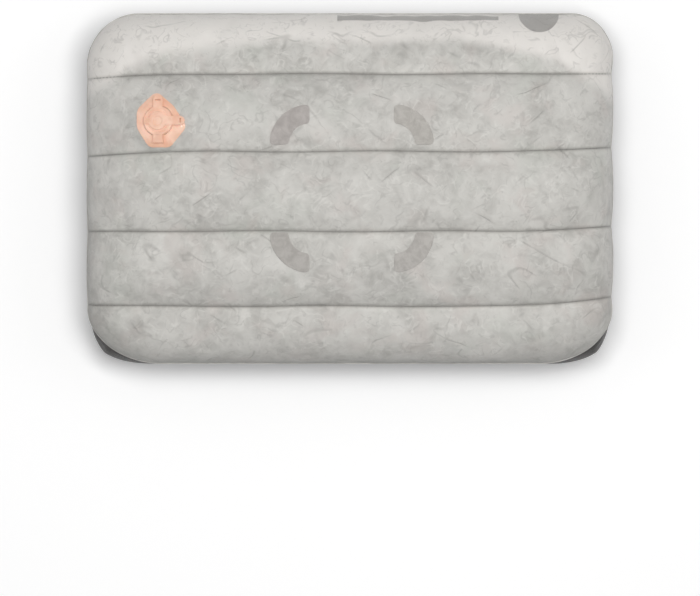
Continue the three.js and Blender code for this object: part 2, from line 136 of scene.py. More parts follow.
for name, (place, (width, depth), power) in LIGHTS.items():
    light = bpy.data.lights.new(name, "AREA")
    light.shape = "RECTANGLE"
    light.size, light.size_y = width, depth
    light.energy = power
    lamp = bpy.data.objects.new(name, light)
    lamp.location = place
    lamp.rotation_euler = (Vector(place) - LIGHT_AIM).to_track_quat("Z", "Y").to_euler()
    lamp.visible_camera = False
    scene.collection.objects.link(lamp)

world = bpy.data.worlds.new("studio")
world.use_nodes = True
background = world.node_tree.nodes["Background"].inputs
background["Color"].default_value = (1.0, 1.0, 1.0, 1)
background["Strength"].default_value = WORLD_LIGHT
scene.world = world
print("camera", round(camera.location.z, 2), "m up,", len(LIGHTS), "lights")

# %% [markdown]
# ## Small tools for materials
# Every finish below is built from the same few moves: a noise, a range, a colour laid over the tone so
# far. These helpers keep each material short enough to read as a recipe. A value may be a number or the
# output of another node.

# %% Tools for materials


def srgb(red, green, blue):
    """A colour as a screen shows it, 0 to 255, turned into the linear light that a shader wants."""
    def linear(value):
        share = value / 255
        return share / 12.92 if share <= 0.04045 else ((share + 0.055) / 1.055) ** 2.4
    return (linear(red), linear(green), linear(blue), 1.0)


class Recipe:
    """One material. Its tone starts as one colour, and tint() lays others over it."""

    def __init__(self, name, color, roughness, **finish):
        self.material = bpy.data.materials.new(name)
        self.material.use_nodes = True
        self.tree = self.material.node_tree
        self.surface = self.tree.nodes["Principled BSDF"].inputs
        self.tone = srgb(*color)
        for socket, value in {"Base Color": self.tone, "Roughness": roughness, **finish}.items():
            self.surface[socket.replace("_", " ")].default_value = value
        self.place = self.node("TexCoord", "Object", {})

    def plug(self, value, socket):
        if isinstance(value, bpy.types.NodeSocket):
            self.tree.links.new(value, socket)
        else:
            socket.default_value = value

    def node(self, kind, output, inputs, **settings):
        made = self.tree.nodes.new("ShaderNode" + kind)
        for setting, value in settings.items():
            setattr(made, setting, value)
        for socket, value in inputs.items():
            self.plug(value, made.inputs[socket])
        return made.outputs[output]

    def noise(self, size, detail=3.0, rough=0.5, warp=0.0, place=None):
        """Clouds of about this size in metres."""
        return self.node("TexNoise", "Fac", {
            "Vector": place or self.place, "Scale": 1 / size, "Detail": detail, "Roughness": rough,
            "Distortion": warp})

    def math(self, operation, first, second=0.0):
        return self.node("Math", 0, {0: first, 1: second}, operation=operation)

    def times(self, first, *others):
        for other in others:
            first = self.math("MULTIPLY", first, other)
        return first

    def plus(self, first, *others):
        for other in others:
            first = self.math("ADD", first, other)
        return first

    def apart(self, first, second):
        return self.math("ABSOLUTE", self.math("SUBTRACT", first, second))

    def ribs(self, across, pitch):
        """Waves from -1 to 1, a pitch apart."""
        return self.math("SINE", self.times(across, 2 * math.pi / pitch))

    def between(self, value, start, end, low=0.0, high=1.0):
        """A smooth step that goes from low to high while the value goes from start to end."""
        return self.node("MapRange", "Result", {
            "Value": value, "From Min": start, "From Max": end, "To Min": low, "To Max": high},
            interpolation_type="SMOOTHSTEP")

    def clouds(self, size, detail=3.0, rough=0.5, warp=0.0, span=(0.3, 0.7), strength=1.0, place=None):
        """A noise with its middle stretched out, from 0 to the strength."""
        return self.between(self.noise(size, detail, rough, warp, place), *span, 0.0, strength)

    def attribute(self, name):
        return self.node("Attribute", "Fac", {}, attribute_name=name)

    def axes(self):
        parts = self.node("SeparateXYZ", 0, {0: self.place}).node.outputs
        return parts["X"], parts["Y"], parts["Z"]

    def tint(self, share, *color):
        """Lays a colour over the tone, thinly where the share is small and fully where it is 1."""
        inputs = {0: share, 6: self.tone, 7: srgb(*color)}
        self.tone = self.node("Mix", 2, inputs, data_type="RGBA")

    def roughness(self, value):
        self.plug(value, self.surface["Roughness"])

    def bump(self, height, depth):
        """Raises the surface by up to depth metres. A second bump is laid over the first."""
        inputs = {"Strength": 1.0, "Distance": depth, "Height": height}
        normal = self.surface["Normal"]
        if normal.is_linked:
            inputs["Normal"] = normal.links[0].from_socket
        self.plug(self.node("Bump", "Normal", inputs), normal)

    def finished(self):
        self.plug(self.tone, self.surface["Base Color"])
        return self.material


# %% [markdown]
# ## Small tools for pieces
# A piece starts as a bmesh, and `make_object` turns it into an object whose place is in its mesh. `bake`
# makes a piece's modifiers part of its mesh, for pieces that others are built on. `attach` lets a piece
# ride on its body, and hides the CAD nodes that it stands for.

# %% Tools for pieces


def grid(bm, columns, rows, size=1):
    return bmesh.ops.create_grid(bm, x_segments=columns, y_segments=rows, size=size)["verts"]


def closed(bm, reach=1e-6):
    """Merges points that lie together, and turns the faces outwards."""
    bmesh.ops.remove_doubles(bm, verts=bm.verts[:], dist=reach)
    bmesh.ops.recalc_face_normals(bm, faces=bm.faces[:])
    return bm


def face_towards(bm, direction):
    """Turns the faces of an open sheet to one side."""
    bmesh.ops.recalc_face_normals(bm, faces=bm.faces[:])
    if sum(face.normal.dot(direction) for face in bm.faces) < 0:
        bmesh.ops.reverse_faces(bm, faces=bm.faces[:])


def make_object(name, bm, material=None):
    data = bpy.data.meshes.new(name)
    bm.to_mesh(data)
    bm.free()
    data.shade_smooth()
    if material:
        data.materials.append(material)
    made = bpy.data.objects.new(name, data)
    scene.collection.objects.link(made)
    return made


def evaluated(piece):
    """The piece as its modifiers leave it."""
    bpy.context.view_layer.update()
    return piece.evaluated_get(bpy.context.evaluated_depsgraph_get())


def bake(piece):
    data = bpy.data.meshes.new_from_object(evaluated(piece))
    data.name = piece.name
    piece.modifiers.clear()
    piece.data = data
    return piece


def surface_of(piece):
    """The piece's surface, ready to be hit by rays."""
    return BVHTree.FromObject(piece, bpy.context.evaluated_depsgraph_get())


def points_of(piece):
    points = np.empty(len(piece.data.vertices) * 3)
    piece.data.vertices.foreach_get("co", points)
    return points.reshape(-1, 3)


def set_points(piece, points):
    piece.data.vertices.foreach_set("co", points.ravel())
    piece.data.update()


def write_attribute(piece, name, values):
    attribute = piece.data.attributes.new(name, "FLOAT", "POINT")
    attribute.data.foreach_set("value", np.asarray(values, dtype=np.float32))


def thicken(piece, thickness, offset=-1.0):
    """Gives a sheet its thickness: inwards with an offset of -1, outwards with 1."""
    solid = piece.modifiers.new("thickness", "SOLIDIFY")
    solid.thickness = thickness
    solid.offset = offset
    return solid


def ease_edges(piece, width, segments, angle=30):
    """Bevels the edges that turn by more than an angle."""
    lip = piece.modifiers.new("lip", "BEVEL")
    lip.width = width
    lip.segments = segments
    lip.limit_method = "ANGLE"
    lip.angle_limit = math.radians(angle)
    return lip


def attach(piece, body, nodes=()):
    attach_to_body(piece, body)
    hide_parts(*nodes)
    print(f"{piece.name}: {len(piece.data.polygons)} faces, rides on {body}")


# %% [markdown]
# ## The floor
# The floor is a plain pale sheet, with just enough tone for the pillow's shadow to sit on. It glows a
# little, as a lit studio table does, so that it stays nearly white.

# %% The floor
FLOOR_HALF = 3.0
FLOOR_GLOW = 0.16
paint = Recipe("pale_floor", (250, 250, 250), 0.9, Emission_Color=(1, 1, 1, 1), Emission_Strength=FLOOR_GLOW)
paint.tone = srgb(249, 249, 249)
paint.tint(paint.noise(0.4), 251, 251, 251)
floor_mesh = bmesh.new()
grid(floor_mesh, 1, 1, FLOOR_HALF)
floor = make_object("floor", floor_mesh, paint.finished())
floor.location.z = -0.5 * MM

# %% [markdown]
# ## How the soft pieces give way
# When a head presses the pillow, the air spreads and everything between the floor and the top comes
# closer together in the same proportion. The valve is hard, so it only sinks, by the travel of the
# press. Here the valve's own frame is set from the joints, and each soft piece is given a mesh of its
# own.

# %% How the soft pieces give way
HINGE_LINE = 14.5
FLAP_TOP = 3.5
joints = {joint["name"]: joint for joint in frame["joints"]}
valve_x = Vector(joints["deflation_flap"]["axis"]).normalized()
valve_z = -Vector(joints["check_valve"]["axis"]).normalized()
valve_y = valve_z.cross(valve_x).normalized()
valve_x = valve_y.cross(valve_z)
hinge_place = Vector(joints["deflation_flap"]["pos_m"])
valve_origin = hinge_place + (valve_y * HINGE_LINE - valve_z * FLAP_TOP) * MM
turn = Matrix((valve_x, valve_y, valve_z)).transposed().to_4x4()
VALVE = Matrix.Translation(valve_origin) @ turn @ Matrix.Scale(MM, 4)


def give_way(piece):
    """Gives the piece a mesh of its own."""
    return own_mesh(piece)


def attach_soft(piece, body, nodes):
    attach(piece, body, nodes)
    give_way(piece)


# %% [markdown]
# ## The shape of a panel
# A panel is cut flat, but the pillow's weld, seams and air pressure leave it only one shape to take. That
# shape is worked out for a point of a flat grid that runs from -1 to 1 both ways: where it lies in plan,
# and how far it rises over the rim. Rows of the grid crowd towards the seams, where the cloth turns
# sharply, and columns crowd towards the two ends.

# %% Plan of a panel
COLUMNS = 128
ROWS = 14 * CHANNELS
CROWDING = 0.62

# How far each corner's curve reaches along X and along Y, at the left and the right end.
REAR_CORNERS = [(42 * MM, 42 * MM), (33 * MM, 36 * MM)]
FRONT_CORNERS = [(60 * MM, 46 * MM), (58 * MM, 46 * MM)]

# How far each seam wanders to the rear at its left and its right end, because hands guided the cloth.
SEAM_WANDER = [(0.8 * MM, 7.5 * MM), (0.0, 4.2 * MM), (-3.8 * MM, 3.6 * MM), (-3.6 * MM, 0.6 * MM)]
WANDER_START = 0.52
SWAY = 0.5 * MM


def round_corner(x, y, half_x, half_y, reach_x, reach_y):
    """Turns the corner of a rectangle into a quarter ellipse."""
    edge_x, edge_y = half_x - reach_x, half_y - reach_y
    p = max(0.0, (abs(x) - edge_x) / reach_x)
    q = max(0.0, (abs(y) - edge_y) / reach_y)
    if p == 0 or q == 0:
        return x, y
    round_x = edge_x + reach_x * p * math.sqrt(1 - q * q / 2)
    round_y = edge_y + reach_y * q * math.sqrt(1 - p * p / 2)
    return math.copysign(round_x, x), math.copysign(round_y, y)


def wall_y(number, s):
    """Y of a seam, or of the rim, where s goes from -1 at the left end to 1 at the right."""
    if number in (0, CHANNELS):
        return WALLS[number]
    left, right = SEAM_WANDER[number - 1]
    reach = max(0.0, (abs(s) - WANDER_START) / (1 - WANDER_START)) ** 2
    sway = SWAY * math.sin(9 * s + 2.3 * number)
    return WALLS[number] + (left if s < 0 else right) * reach + sway * (1 - s * s)


def grid_place(u, v):
    """What a point of the flat grid is on the pillow: its s, the channel that its row is in, and how far
    across the channel it is, from 0 at one seam to 1 at the next."""
    along = (v + 1) / 2 * CHANNELS
    channel = min(CHANNELS - 1, int(along + 1e-6))
    share = min(1.0, max(0.0, along - channel))
    eased = 0.5 - 0.5 * math.cos(math.pi * share)
    return math.sin(u * math.pi / 2), channel, share + CROWDING * (eased - share)


def flat_y(channel, share):
    return WALLS[channel] + (WALLS[channel + 1] - WALLS[channel]) * share


# %% [markdown]
# The rise has three factors. The seams lie on a flat dome, each channel stands up from them as a crown,
# and both turn down at the ends. The dome is lower at the front and rear, where the panel has to come
# back to the rim. The higher a power here, the flatter the middle and the steeper the edge.

# %% Height of a panel
BULGE = 9.5 * MM
CROWN_POWER = 0.88
TOP_DOME = (2.1, 0.58)
UNDER_DOME = (3.5, 0.5)
UNDER_FLAT = 3 * MM
END_POWER = 6
PINCH_LEFT = 0.7 * MM
PINCH_RIGHT = 1.7 * MM
SWELL = 8.5 * MM
SWELL_PEAK = 0.045
SWELL_REACH = (64 * MM, 42 * MM)


def crown(share):
    return max(0.0, 4 * share * (1 - share)) ** CROWN_POWER


def corner_swell(x, y, s, t):
    """The lower panel is cut fuller at its two front corners: it bellies out past the rim, under it."""
    reach_x, reach_y = SWELL_REACH
    p = (abs(x) - HALF_WIDTH) / reach_x + 1
    q = (abs(y) - HALF_DEPTH) / reach_y + 1
    if t > 0 or p <= 0 or q <= 0:
        return x, y
    diagonal = 2 * p * q / (p * p + q * q)
    inside = (1 - max(abs(s), abs(t))) / SWELL_PEAK
    push = Vector((math.copysign(p / reach_x, x), -q / reach_y)).normalized() * SWELL
    push *= diagonal * inside * math.exp(1 - inside)
    return x + push.x, y + push.y


def panel_point(u, v, side):
    """Where a point of the flat grid comes to lie. side is 1 for the top panel and -1 for the lower."""
    s, channel, share = grid_place(u, v)
    t = flat_y(channel, share) / HALF_DEPTH
    seam_y = wall_y(channel, s) + (wall_y(channel + 1, s) - wall_y(channel, s)) * share
    corner = (REAR_CORNERS if t > 0 else FRONT_CORNERS)[0 if s < 0 else 1]
    x, y = round_corner(s * HALF_WIDTH, seam_y, HALF_WIDTH, HALF_DEPTH, *corner)
    if side < 0:
        x, y = corner_swell(x, y, s, t)
    pinch = PINCH_RIGHT if s > 0 else -PINCH_LEFT
    x -= pinch * abs(s) ** 12 * (1 - 2 * share) ** 2 * (1 - abs(t) ** 6)
    top, (power, root) = (TOP_RISE - BULGE, TOP_DOME) if side > 0 else (UNDER_DROP - UNDER_FLAT, UNDER_DOME)
    dome = top * max(0.0, 1 - abs(t) ** power) ** root
    ends = math.sqrt(max(0.0, 1 - abs(s) ** END_POWER))
    return Vector((x, y, RIM_LEVEL + side * (dome + BULGE * crown(share)) * ends))


# %% [markdown]
# ## The cloth of the two covers
# Real covers are cut a little longer than the seams that they are sewn to, and the spare length is what
# makes small puckers and folds when the air comes in. Cloth simulation gives those for free. Both panels
# are one closed shell, made a little too long. Its seams and rim are then drawn in to their true places,
# while air pressure holds the cloth out. What is left over has to fold.

# %% The shell before sewing
VALVE_HOLD = 15 * MM
VALVE_FADE = 27 * MM

shell_mesh = bmesh.new()
side_of = shell_mesh.faces.layers.int.new("side")
flat_u, flat_v = (shell_mesh.verts.layers.float.new(name) for name in ("flat_u", "flat_v"))
for side in (1, -1):
    panel = grid(shell_mesh, COLUMNS, ROWS)
    for vertex in panel:
        vertex[flat_u], vertex[flat_v], _ = vertex.co
        vertex.co = panel_point(vertex[flat_u], vertex[flat_v], side)
        for face in vertex.link_faces:
            face[side_of] = side
    if side < 0:
        own = {face for vertex in panel for face in vertex.link_faces}
        bmesh.ops.reverse_faces(shell_mesh, faces=list(own))
bmesh.ops.remove_doubles(shell_mesh, verts=shell_mesh.verts[:], dist=1e-6)
shell = make_object("shell", shell_mesh)
sewn = points_of(shell)


def seam_distance(points):
    """Distance in plan from each point to the nearest seam line."""
    nearest = np.full(len(points), 1.0)
    for number in range(1, CHANNELS):
        line = np.array([wall_y(number, x / HALF_WIDTH) for x in points[:, 0]])
        nearest = np.minimum(nearest, np.abs(points[:, 1] - line))
    return nearest


# The valve's flange is stiff, so the cloth round it lies in the valve's own plane.
normal = np.array(valve_z)
from_valve = sewn - np.array(valve_origin)
from_axis = np.linalg.norm(np.cross(from_valve, normal), axis=1)
drop = from_valve @ normal
near_valve = np.clip((VALVE_FADE - from_axis) / (VALVE_FADE - VALVE_HOLD), 0, 1)
near_valve = near_valve ** 2 * (3 - 2 * near_valve) * (sewn[:, 2] > RIM_LEVEL)
sewn[:, 2] -= drop / normal[2] * near_valve
print("shell of", len(sewn), "points, valve seat levelled by", round(abs(drop[near_valve > 0]).max() / MM, 1))

# %% [markdown]
# The simulation needs to know which points are held. The seams and the rim are, and so is the valve's
# seat. Everything else is free. A fixed, slight unevenness in the cloth tells the folds where to start.

# %% Sewing and inflating
SPARE_LENGTH = 0.013
UNEVEN = 0.6 * MM
HELD = "held"
SEWN_FRAME = 12
LAST_FRAME = 24
CLOTH = {
    "quality": 5, "mass": 0.15, "air_damping": 4, "tension_stiffness": 15, "compression_stiffness": 15,
    "shear_stiffness": 8, "bending_stiffness": 0.5, "use_pressure": True, "uniform_pressure_force": 10.0,
    "vertex_group_mass": HELD,
}

seam_gap = seam_distance(sewn)
held = (seam_gap < 1e-5) | (np.abs(sewn[:, 2] - RIM_LEVEL) < 1e-6) | (near_valve > 0.999)
uneven = np.array([noise.noise(Vector(point) * 90) for point in sewn])
uneven[held] = 0
rough = sewn.copy()
rough[:, 2] += UNEVEN * uneven * np.sign(sewn[:, 2] - RIM_LEVEL)
rough[:, 0] += UNEVEN / 3 * uneven


def inflate(piece):
    group = piece.vertex_groups.new(name=HELD)
    group.add([int(i) for i in np.flatnonzero(held)], 1.0, "REPLACE")
    cut = rough.copy()
    cut[:, 0] *= 1 + SPARE_LENGTH
    set_points(piece, cut)
    piece.shape_key_add(name="cut")
    drawn_in = piece.shape_key_add(name="sewn")
    drawn_in.data.foreach_set("co", rough.ravel())
    for value, at in ((0, 1), (1, SEWN_FRAME)):
        drawn_in.value = value
        drawn_in.keyframe_insert("value", frame=at)
    cloth = piece.modifiers.new("cloth", "CLOTH")
    for setting, value in CLOTH.items():
        setattr(cloth.settings, setting, value)
    cloth.settings.effector_weights.gravity = 0
    cloth.collision_settings.use_collision = False
    cloth.point_cache.frame_end = LAST_FRAME
    for number in range(1, LAST_FRAME + 1):
        scene.frame_set(number)
    settled = points_of(evaluated(piece))
    piece.modifiers.clear()
    piece.shape_key_clear()
    piece.vertex_groups.clear()
    scene.frame_set(1)
    return settled


inflated = inflate(shell)
set_points(shell, inflated)
print("inflated: points moved by up to", round(float(np.abs(inflated - sewn).max()) / MM, 2), "mm")

# %% [markdown]
# ## Cutting the shell into its two covers
# Each cover takes its own side of the shell. One subdivision rounds the grid, but the seams keep a crease,
# because a line of stitches bites into the cloth and the channels meet there at an angle. The bite is
# drawn a little deeper still, in a band as narrow as the thread. Where the lower channels press on the
# floor, the cloth lies flat. Each point also keeps, for the materials, how near it is to a seam and where
# it was on the flat panel.

# %% The two sides
SEAM_CREASE = 0.85
BITE = 1.3 * MM
BITE_WIDTH = 1.1 * MM
SEAM_SHADE = 0.9 * MM
BORE_RADIUS = 11.8 * MM


def open_bore(bm, radius=BORE_RADIUS):
    """Cuts the round hole for the valve, and draws the cut edge onto a true circle."""
    def away(point):
        offset = point - valve_origin
        return offset - valve_z * offset.dot(valve_z)
    inside = [face for face in bm.faces if away(face.calc_center_median()).length < radius]
    bmesh.ops.delete(bm, geom=inside, context="FACES")
    for vertex in bm.verts:
        offset = away(vertex.co)
        if vertex.is_boundary and offset.length < radius * 1.6:
            vertex.co += offset * (radius / offset.length - 1)


def flat_places(piece):
    """What grid_place says for every point of a piece that was cut from the shell."""
    us, vs = (piece.data.attributes[name].data for name in ("flat_u", "flat_v"))
    return [grid_place(u.value, v.value) for u, v in zip(us, vs)]


def one_side(side, name):
    bm = bmesh.new()
    bm.from_mesh(shell.data)
    side_of = bm.faces.layers.int["side"]
    bmesh.ops.delete(bm, geom=[face for face in bm.faces if face[side_of] != side], context="FACES")
    if side > 0:
        open_bore(bm)
    crease = bm.edges.layers.float.new("crease_edge")
    on_seam = {v for v in bm.verts if seam_distance(np.array([v.co]))[0] < 1e-5}
    for edge in bm.edges:
        if on_seam.issuperset(edge.verts):
            edge[crease] = SEAM_CREASE
    piece = make_object(name, bm)
    smooth = piece.modifiers.new("smooth", "SUBSURF")
    smooth.levels = smooth.render_levels = 1
    bake(piece)
    points = points_of(piece)
    gap = seam_distance(points)
    away_from_rim = np.clip(np.abs(points[:, 2] - RIM_LEVEL) / (8 * MM), 0, 1)
    points[:, 2] -= side * BITE * np.exp(-((gap / BITE_WIDTH) ** 2)) * away_from_rim
    if side < 0:
        points[:, 2] = np.maximum(points[:, 2], 0)
    set_points(piece, points)
    # near_seam is the mask of the painted shade along the seams, in both cloths.
    write_attribute(piece, "near_seam", np.exp(-((gap / SEAM_SHADE) ** 2)))
    places = flat_places(piece)
    write_attribute(piece, "flat_x", [s * HALF_WIDTH for s, _, _ in places])
    write_attribute(piece, "flat_y", [flat_y(channel, share) for _, channel, share in places])
    return piece


quilted_top = one_side(1, "quilted_top")
charcoal_under = one_side(-1, "charcoal_under")
print("top", len(quilted_top.data.polygons), "faces; under", len(charcoal_under.data.polygons), "faces")

# %% [markdown]
# ## The pale cloth of the top
# The top cloth is thin, soft and pale, and the down shows through it: soft clouds a finger wide, with
# thin curled fibres in them, some darker and some lighter than the cloth. The clouds are plain noise at
# two sizes. A fibre is the line where a twisted noise passes through its middle value, which gives curls
# and hooks for free, and a second noise breaks the endless line into short pieces.
# A plain mark is printed on the rear edge, and thread and painted shade darken the seams. The cloth is
# painted darker along the rim, most of all at the front: partly its greyer tone where no down lies behind
# it, and partly painted shade. The rear channel is painted lighter: painted light from behind the pillow.

# %% Patterns in the cloth


def shifted(cloth, seed, turn=0.0, stretch=(1, 1, 1)):
    """The same place moved by a seed, so that two patterns of one kind don't coincide, and turned about Z."""
    return cloth.node("Mapping", "Vector", {
        "Vector": cloth.place, "Location": (seed, 2 * seed, 0.5 * seed), "Rotation": (0, 0, turn),
        "Scale": stretch}, vector_type="TEXTURE")


def thin_lines(cloth, field, width):
    """1 where a noise passes through its middle value, and 0 further off."""
    return cloth.between(cloth.apart(field, 0.5), 0.0, width, 1.0, 0.0)


def fibres(cloth, size, width, seed):
    """Short curled lines, 1 on a fibre and 0 elsewhere."""
    place = shifted(cloth, seed)
    lines = thin_lines(cloth, cloth.noise(size, 2.0, 0.4, 1.1, place), width)
    return cloth.times(lines, cloth.clouds(size * 0.8, 1.0, span=(0.50, 0.60), place=place))


def slanted_creases(cloth, turn, seed):
    """Long, faint lines at one slant, where the cloth was folded when it was packed small."""
    field = cloth.noise(24 * MM, 0.0, 0.0, 0.0, shifted(cloth, seed, turn, (9, 1, 1)))
    pieces = cloth.clouds(26 * MM, 1.0, span=(0.56, 0.68), place=shifted(cloth, seed + 1))
    return cloth.times(thin_lines(cloth, field, 0.022), pieces)


BAR_CENTRE = (54 * MM, 134.6 * MM)
BAR_HALF = (64 * MM, 2.3 * MM)
DISC_CENTRE = (150 * MM, 139 * MM)
DISC_RADIUS = 16 * MM
PRINT_EDGE = 0.3 * MM


def printed_mark(cloth):
    """A thin bar and half a disc along the rear edge: a plain mark that says nothing. It was printed on
    the flat cloth, so it is drawn in the flat panel's own coordinates."""
    def apart(centre):
        return [cloth.apart(cloth.attribute(axis), at) for axis, at in zip(("flat_x", "flat_y"), centre)]

    def within(distance, half):
        return cloth.between(distance, half - PRINT_EDGE, half + PRINT_EDGE, 1.0, 0.0)

    bar = cloth.times(*(within(distance, half) for distance, half in zip(apart(BAR_CENTRE), BAR_HALF)))
    squares = [cloth.times(distance, distance) for distance in apart(DISC_CENTRE)]
    return cloth.math("MAXIMUM", bar, within(cloth.math("SQRT", cloth.plus(*squares)), DISC_RADIUS))


def weave(cloth, pitch, depth):
    """Over and under of fine yarns, seen from above."""
    x, y, z = cloth.axes()
    along = cloth.ribs(cloth.plus(x, z), pitch)
    across = cloth.ribs(cloth.math("SUBTRACT", y, z), pitch)
    cloth.bump(cloth.times(along, across), depth)


# %% The pale cloth
CREASE_SLANT = math.radians(37)
# Where the painted light on the rear channel starts and ends, how far its edge drifts, and how far it reaches
# at the ends.
REAR_LIGHT_BAND = (117 * MM, 129 * MM)
REAR_DRIFT = 14 * MM
REAR_AT_ENDS = 45 * MM
# How high over the rim the painted shade along the rim reaches, and the tone of all painted shade here.
RIM_SHADE_HEIGHT = 34 * MM
PAINTED_SHADE = (112, 110, 105)
# Each kind of fibre: its size, width, seed and strength, and its colour.
FIBRES = [
    (17 * MM, 0.042, 0.31, 0.26, (144, 142, 138)),
    (9 * MM, 0.050, 0.83, 0.18, (150, 147, 142)),
    (14 * MM, 0.050, 0.57, 0.34, (226, 224, 219)),
]


def pale_cloth():
    cloth = Recipe("pale_down_cloth", (194, 192, 187), 0.82, Sheen_Weight=0.25, Sheen_Roughness=0.5)
    cloth.tone = srgb(178, 176, 171)
    cloth.tint(cloth.clouds(34 * MM, 3.0, 0.55, 0.6), 205, 203, 198)
    cloth.tint(cloth.clouds(11 * MM, 5.0, 0.65, 0.9, strength=0.62), 216, 214, 209)
    cloth.tint(cloth.clouds(26 * MM, 2.0, 0.5, 0.4, (0.50, 0.72), 0.35), 203, 193, 188)
    cloth.tint(cloth.clouds(41 * MM, 2.0, 0.5, 0.4, (0.52, 0.75), 0.30), 184, 189, 180)
    x, y, z = cloth.axes()
    # Painted light: the rear channel is drawn lighter behind a wavy edge, as light from behind shines
    # through.
    drift = cloth.times(cloth.noise(60 * MM, 2.0), REAR_DRIFT)
    ends = cloth.times(cloth.math("POWER", cloth.math("ABSOLUTE", x), 4.0), REAR_AT_ENDS / HALF_WIDTH ** 4)
    rear = cloth.between(cloth.plus(y, drift, ends), *REAR_LIGHT_BAND, 0.0, 0.85)
    cloth.tint(rear, 237, 233, 228)
    for size, width, seed, strength, color in FIBRES:
        cloth.tint(cloth.times(fibres(cloth, size, width, seed), strength), *color)
    slants = [slanted_creases(cloth, *kind) for kind in ((CREASE_SLANT, 0.17), (-CREASE_SLANT, 0.71))]
    creases = cloth.math("MAXIMUM", *slants)
    # The creases are also painted darker: painted shade in their folds.
    cloth.tint(cloth.times(creases, 0.30), 132, 130, 126)
    cloth.tint(cloth.times(printed_mark(cloth), 0.7), 128, 125, 122)
    # Painted shade along the seams, weaker within the painted light of the rear channel.
    seam_shade_share = cloth.between(rear, 0.0, 0.85, 0.75, 0.4)
    cloth.tint(cloth.times(cloth.attribute("near_seam"), seam_shade_share), *PAINTED_SHADE)
    # Painted shade along the rim, strongest at the front and weaker at the right end; partly greyer cloth.
    painted_rim_shade = cloth.times(
        cloth.between(z, RIM_LEVEL, RIM_LEVEL + RIM_SHADE_HEIGHT, 0.6, 0.0),
        cloth.between(y, -HALF_DEPTH / 2, HALF_DEPTH / 2, 1.0, 0.35),
        cloth.between(x, HALF_WIDTH * 0.75, HALF_WIDTH * 0.95, 1.0, 0.5))
    cloth.tint(painted_rim_shade, *PAINTED_SHADE)
    cloth.bump(cloth.noise(12 * MM, 3.0, 0.5, 0.5), 0.6 * MM)
    cloth.bump(cloth.math("SUBTRACT", 1.0, creases), 0.3 * MM)
    cloth.bump(cloth.noise(2.2 * MM, 2.0, 0.6), 0.05 * MM)
    weave(cloth, 0.7 * MM, 0.03 * MM)
    return cloth.finished()


quilted_top.data.materials.append(pale_cloth())
thicken(quilted_top, 0.5 * MM)
attach_soft(quilted_top, "head_side", ["top_cover"])
cover_surface = surface_of(quilted_top)

# %% [markdown]
# ## The charcoal cloth underneath
# The lower cover is a plain, dark woven cloth, made to grip the mat and to take wear. Two crossed sets of
# ridges give it its weave, and a little noise keeps the dark from being one flat tone. The lower channels
# are rubbed paler where they touch the ground.

# %% The charcoal cloth


def charcoal_cloth():
    cloth = Recipe("charcoal_woven_cloth", (66, 65, 64), 0.78, Sheen_Weight=0.3, Sheen_Roughness=0.4)
    cloth.tone = srgb(58, 57, 57)
    patches = cloth.clouds(30 * MM, 4.0, 0.6)
    cloth.tint(patches, 76, 74, 72)
    cloth.tint(cloth.clouds(1.6 * MM, 2.0, 0.6, span=(0.4, 0.7), strength=0.45), 98, 95, 92)
    _, _, z = cloth.axes()
    cloth.tint(cloth.between(z, 0.0, 2.5 * MM, 0.35, 0.0), 112, 109, 105)
    # Painted shade along the seams of the lower cover.
    cloth.tint(cloth.times(cloth.attribute("near_seam"), 0.5), 30, 30, 30)
    cloth.roughness(cloth.between(patches, 0.0, 1.0, 0.7, 0.86))
    cloth.bump(cloth.noise(14 * MM, 2.0, 0.5), 0.4 * MM)
    weave(cloth, 1.1 * MM, 0.08 * MM)
    return cloth.finished()


charcoal_under.data.materials.append(charcoal_cloth())
thicken(charcoal_under, 0.5 * MM)
attach_soft(charcoal_under, "underside", ["lower_cover"])

# %% [markdown]
# ## The welded rim
# All four layers end in one weld. From outside it is a narrow bead, and inside a flat tongue reaches in
# between the covers. A curve can carry that section round the pillow: its path is the top cover's own
# rim, so the bead follows every scallop, and a second curve gives the section.

# %% The welded rim
BEAD = 0.75 * MM
TONGUE = 7 * MM
TONGUE_HALF = 0.3 * MM


def rim_path():
    """The points of the top cover's rim, in order round the pillow."""
    bm = bmesh.new()
    bm.from_mesh(quilted_top.data)
    on_rim = [edge for edge in bm.edges if edge.is_boundary and abs(edge.verts[0].co.z - RIM_LEVEL) < 5 * MM]
    vertex, edge = on_rim[0].verts[0], on_rim[0]
    path = []
    while True:
        path.append(vertex.co.copy())
        vertex = edge.other_vert(vertex)
        if (vertex.co - path[0]).length < 1e-7:
            bm.free()
            return path
        edge = next(other for other in vertex.link_edges if other.is_boundary and other != edge)


def loop_curve(name, points, dimensions):
    data = bpy.data.curves.new(name, "CURVE")
    data.dimensions = "3D"
    line = data.splines.new("POLY")
    line.points.add(len(points) - 1)
    for place, point in zip(line.points, points):
        place.co = (*point, 1.0)
    line.use_cyclic_u = True
    data.dimensions = dimensions
    curve = bpy.data.objects.new(name, data)
    scene.collection.objects.link(curve)
    return curve


def welded_edge():
    """The weld has pressed the pale cloth flat, so it shines a little and shows the weld's fine ribs."""
    edge = Recipe("welded_edge", (205, 203, 198), 0.6)
    edge.tone = srgb(190, 188, 183)
    edge.tint(edge.clouds(9 * MM), 212, 210, 205)
    x, y, _ = edge.axes()
    edge.bump(edge.ribs(edge.plus(x, y), 1.6 * MM), 0.05 * MM)
    edge.bump(edge.noise(3 * MM, 2.0), 0.1 * MM)
    return edge.finished()


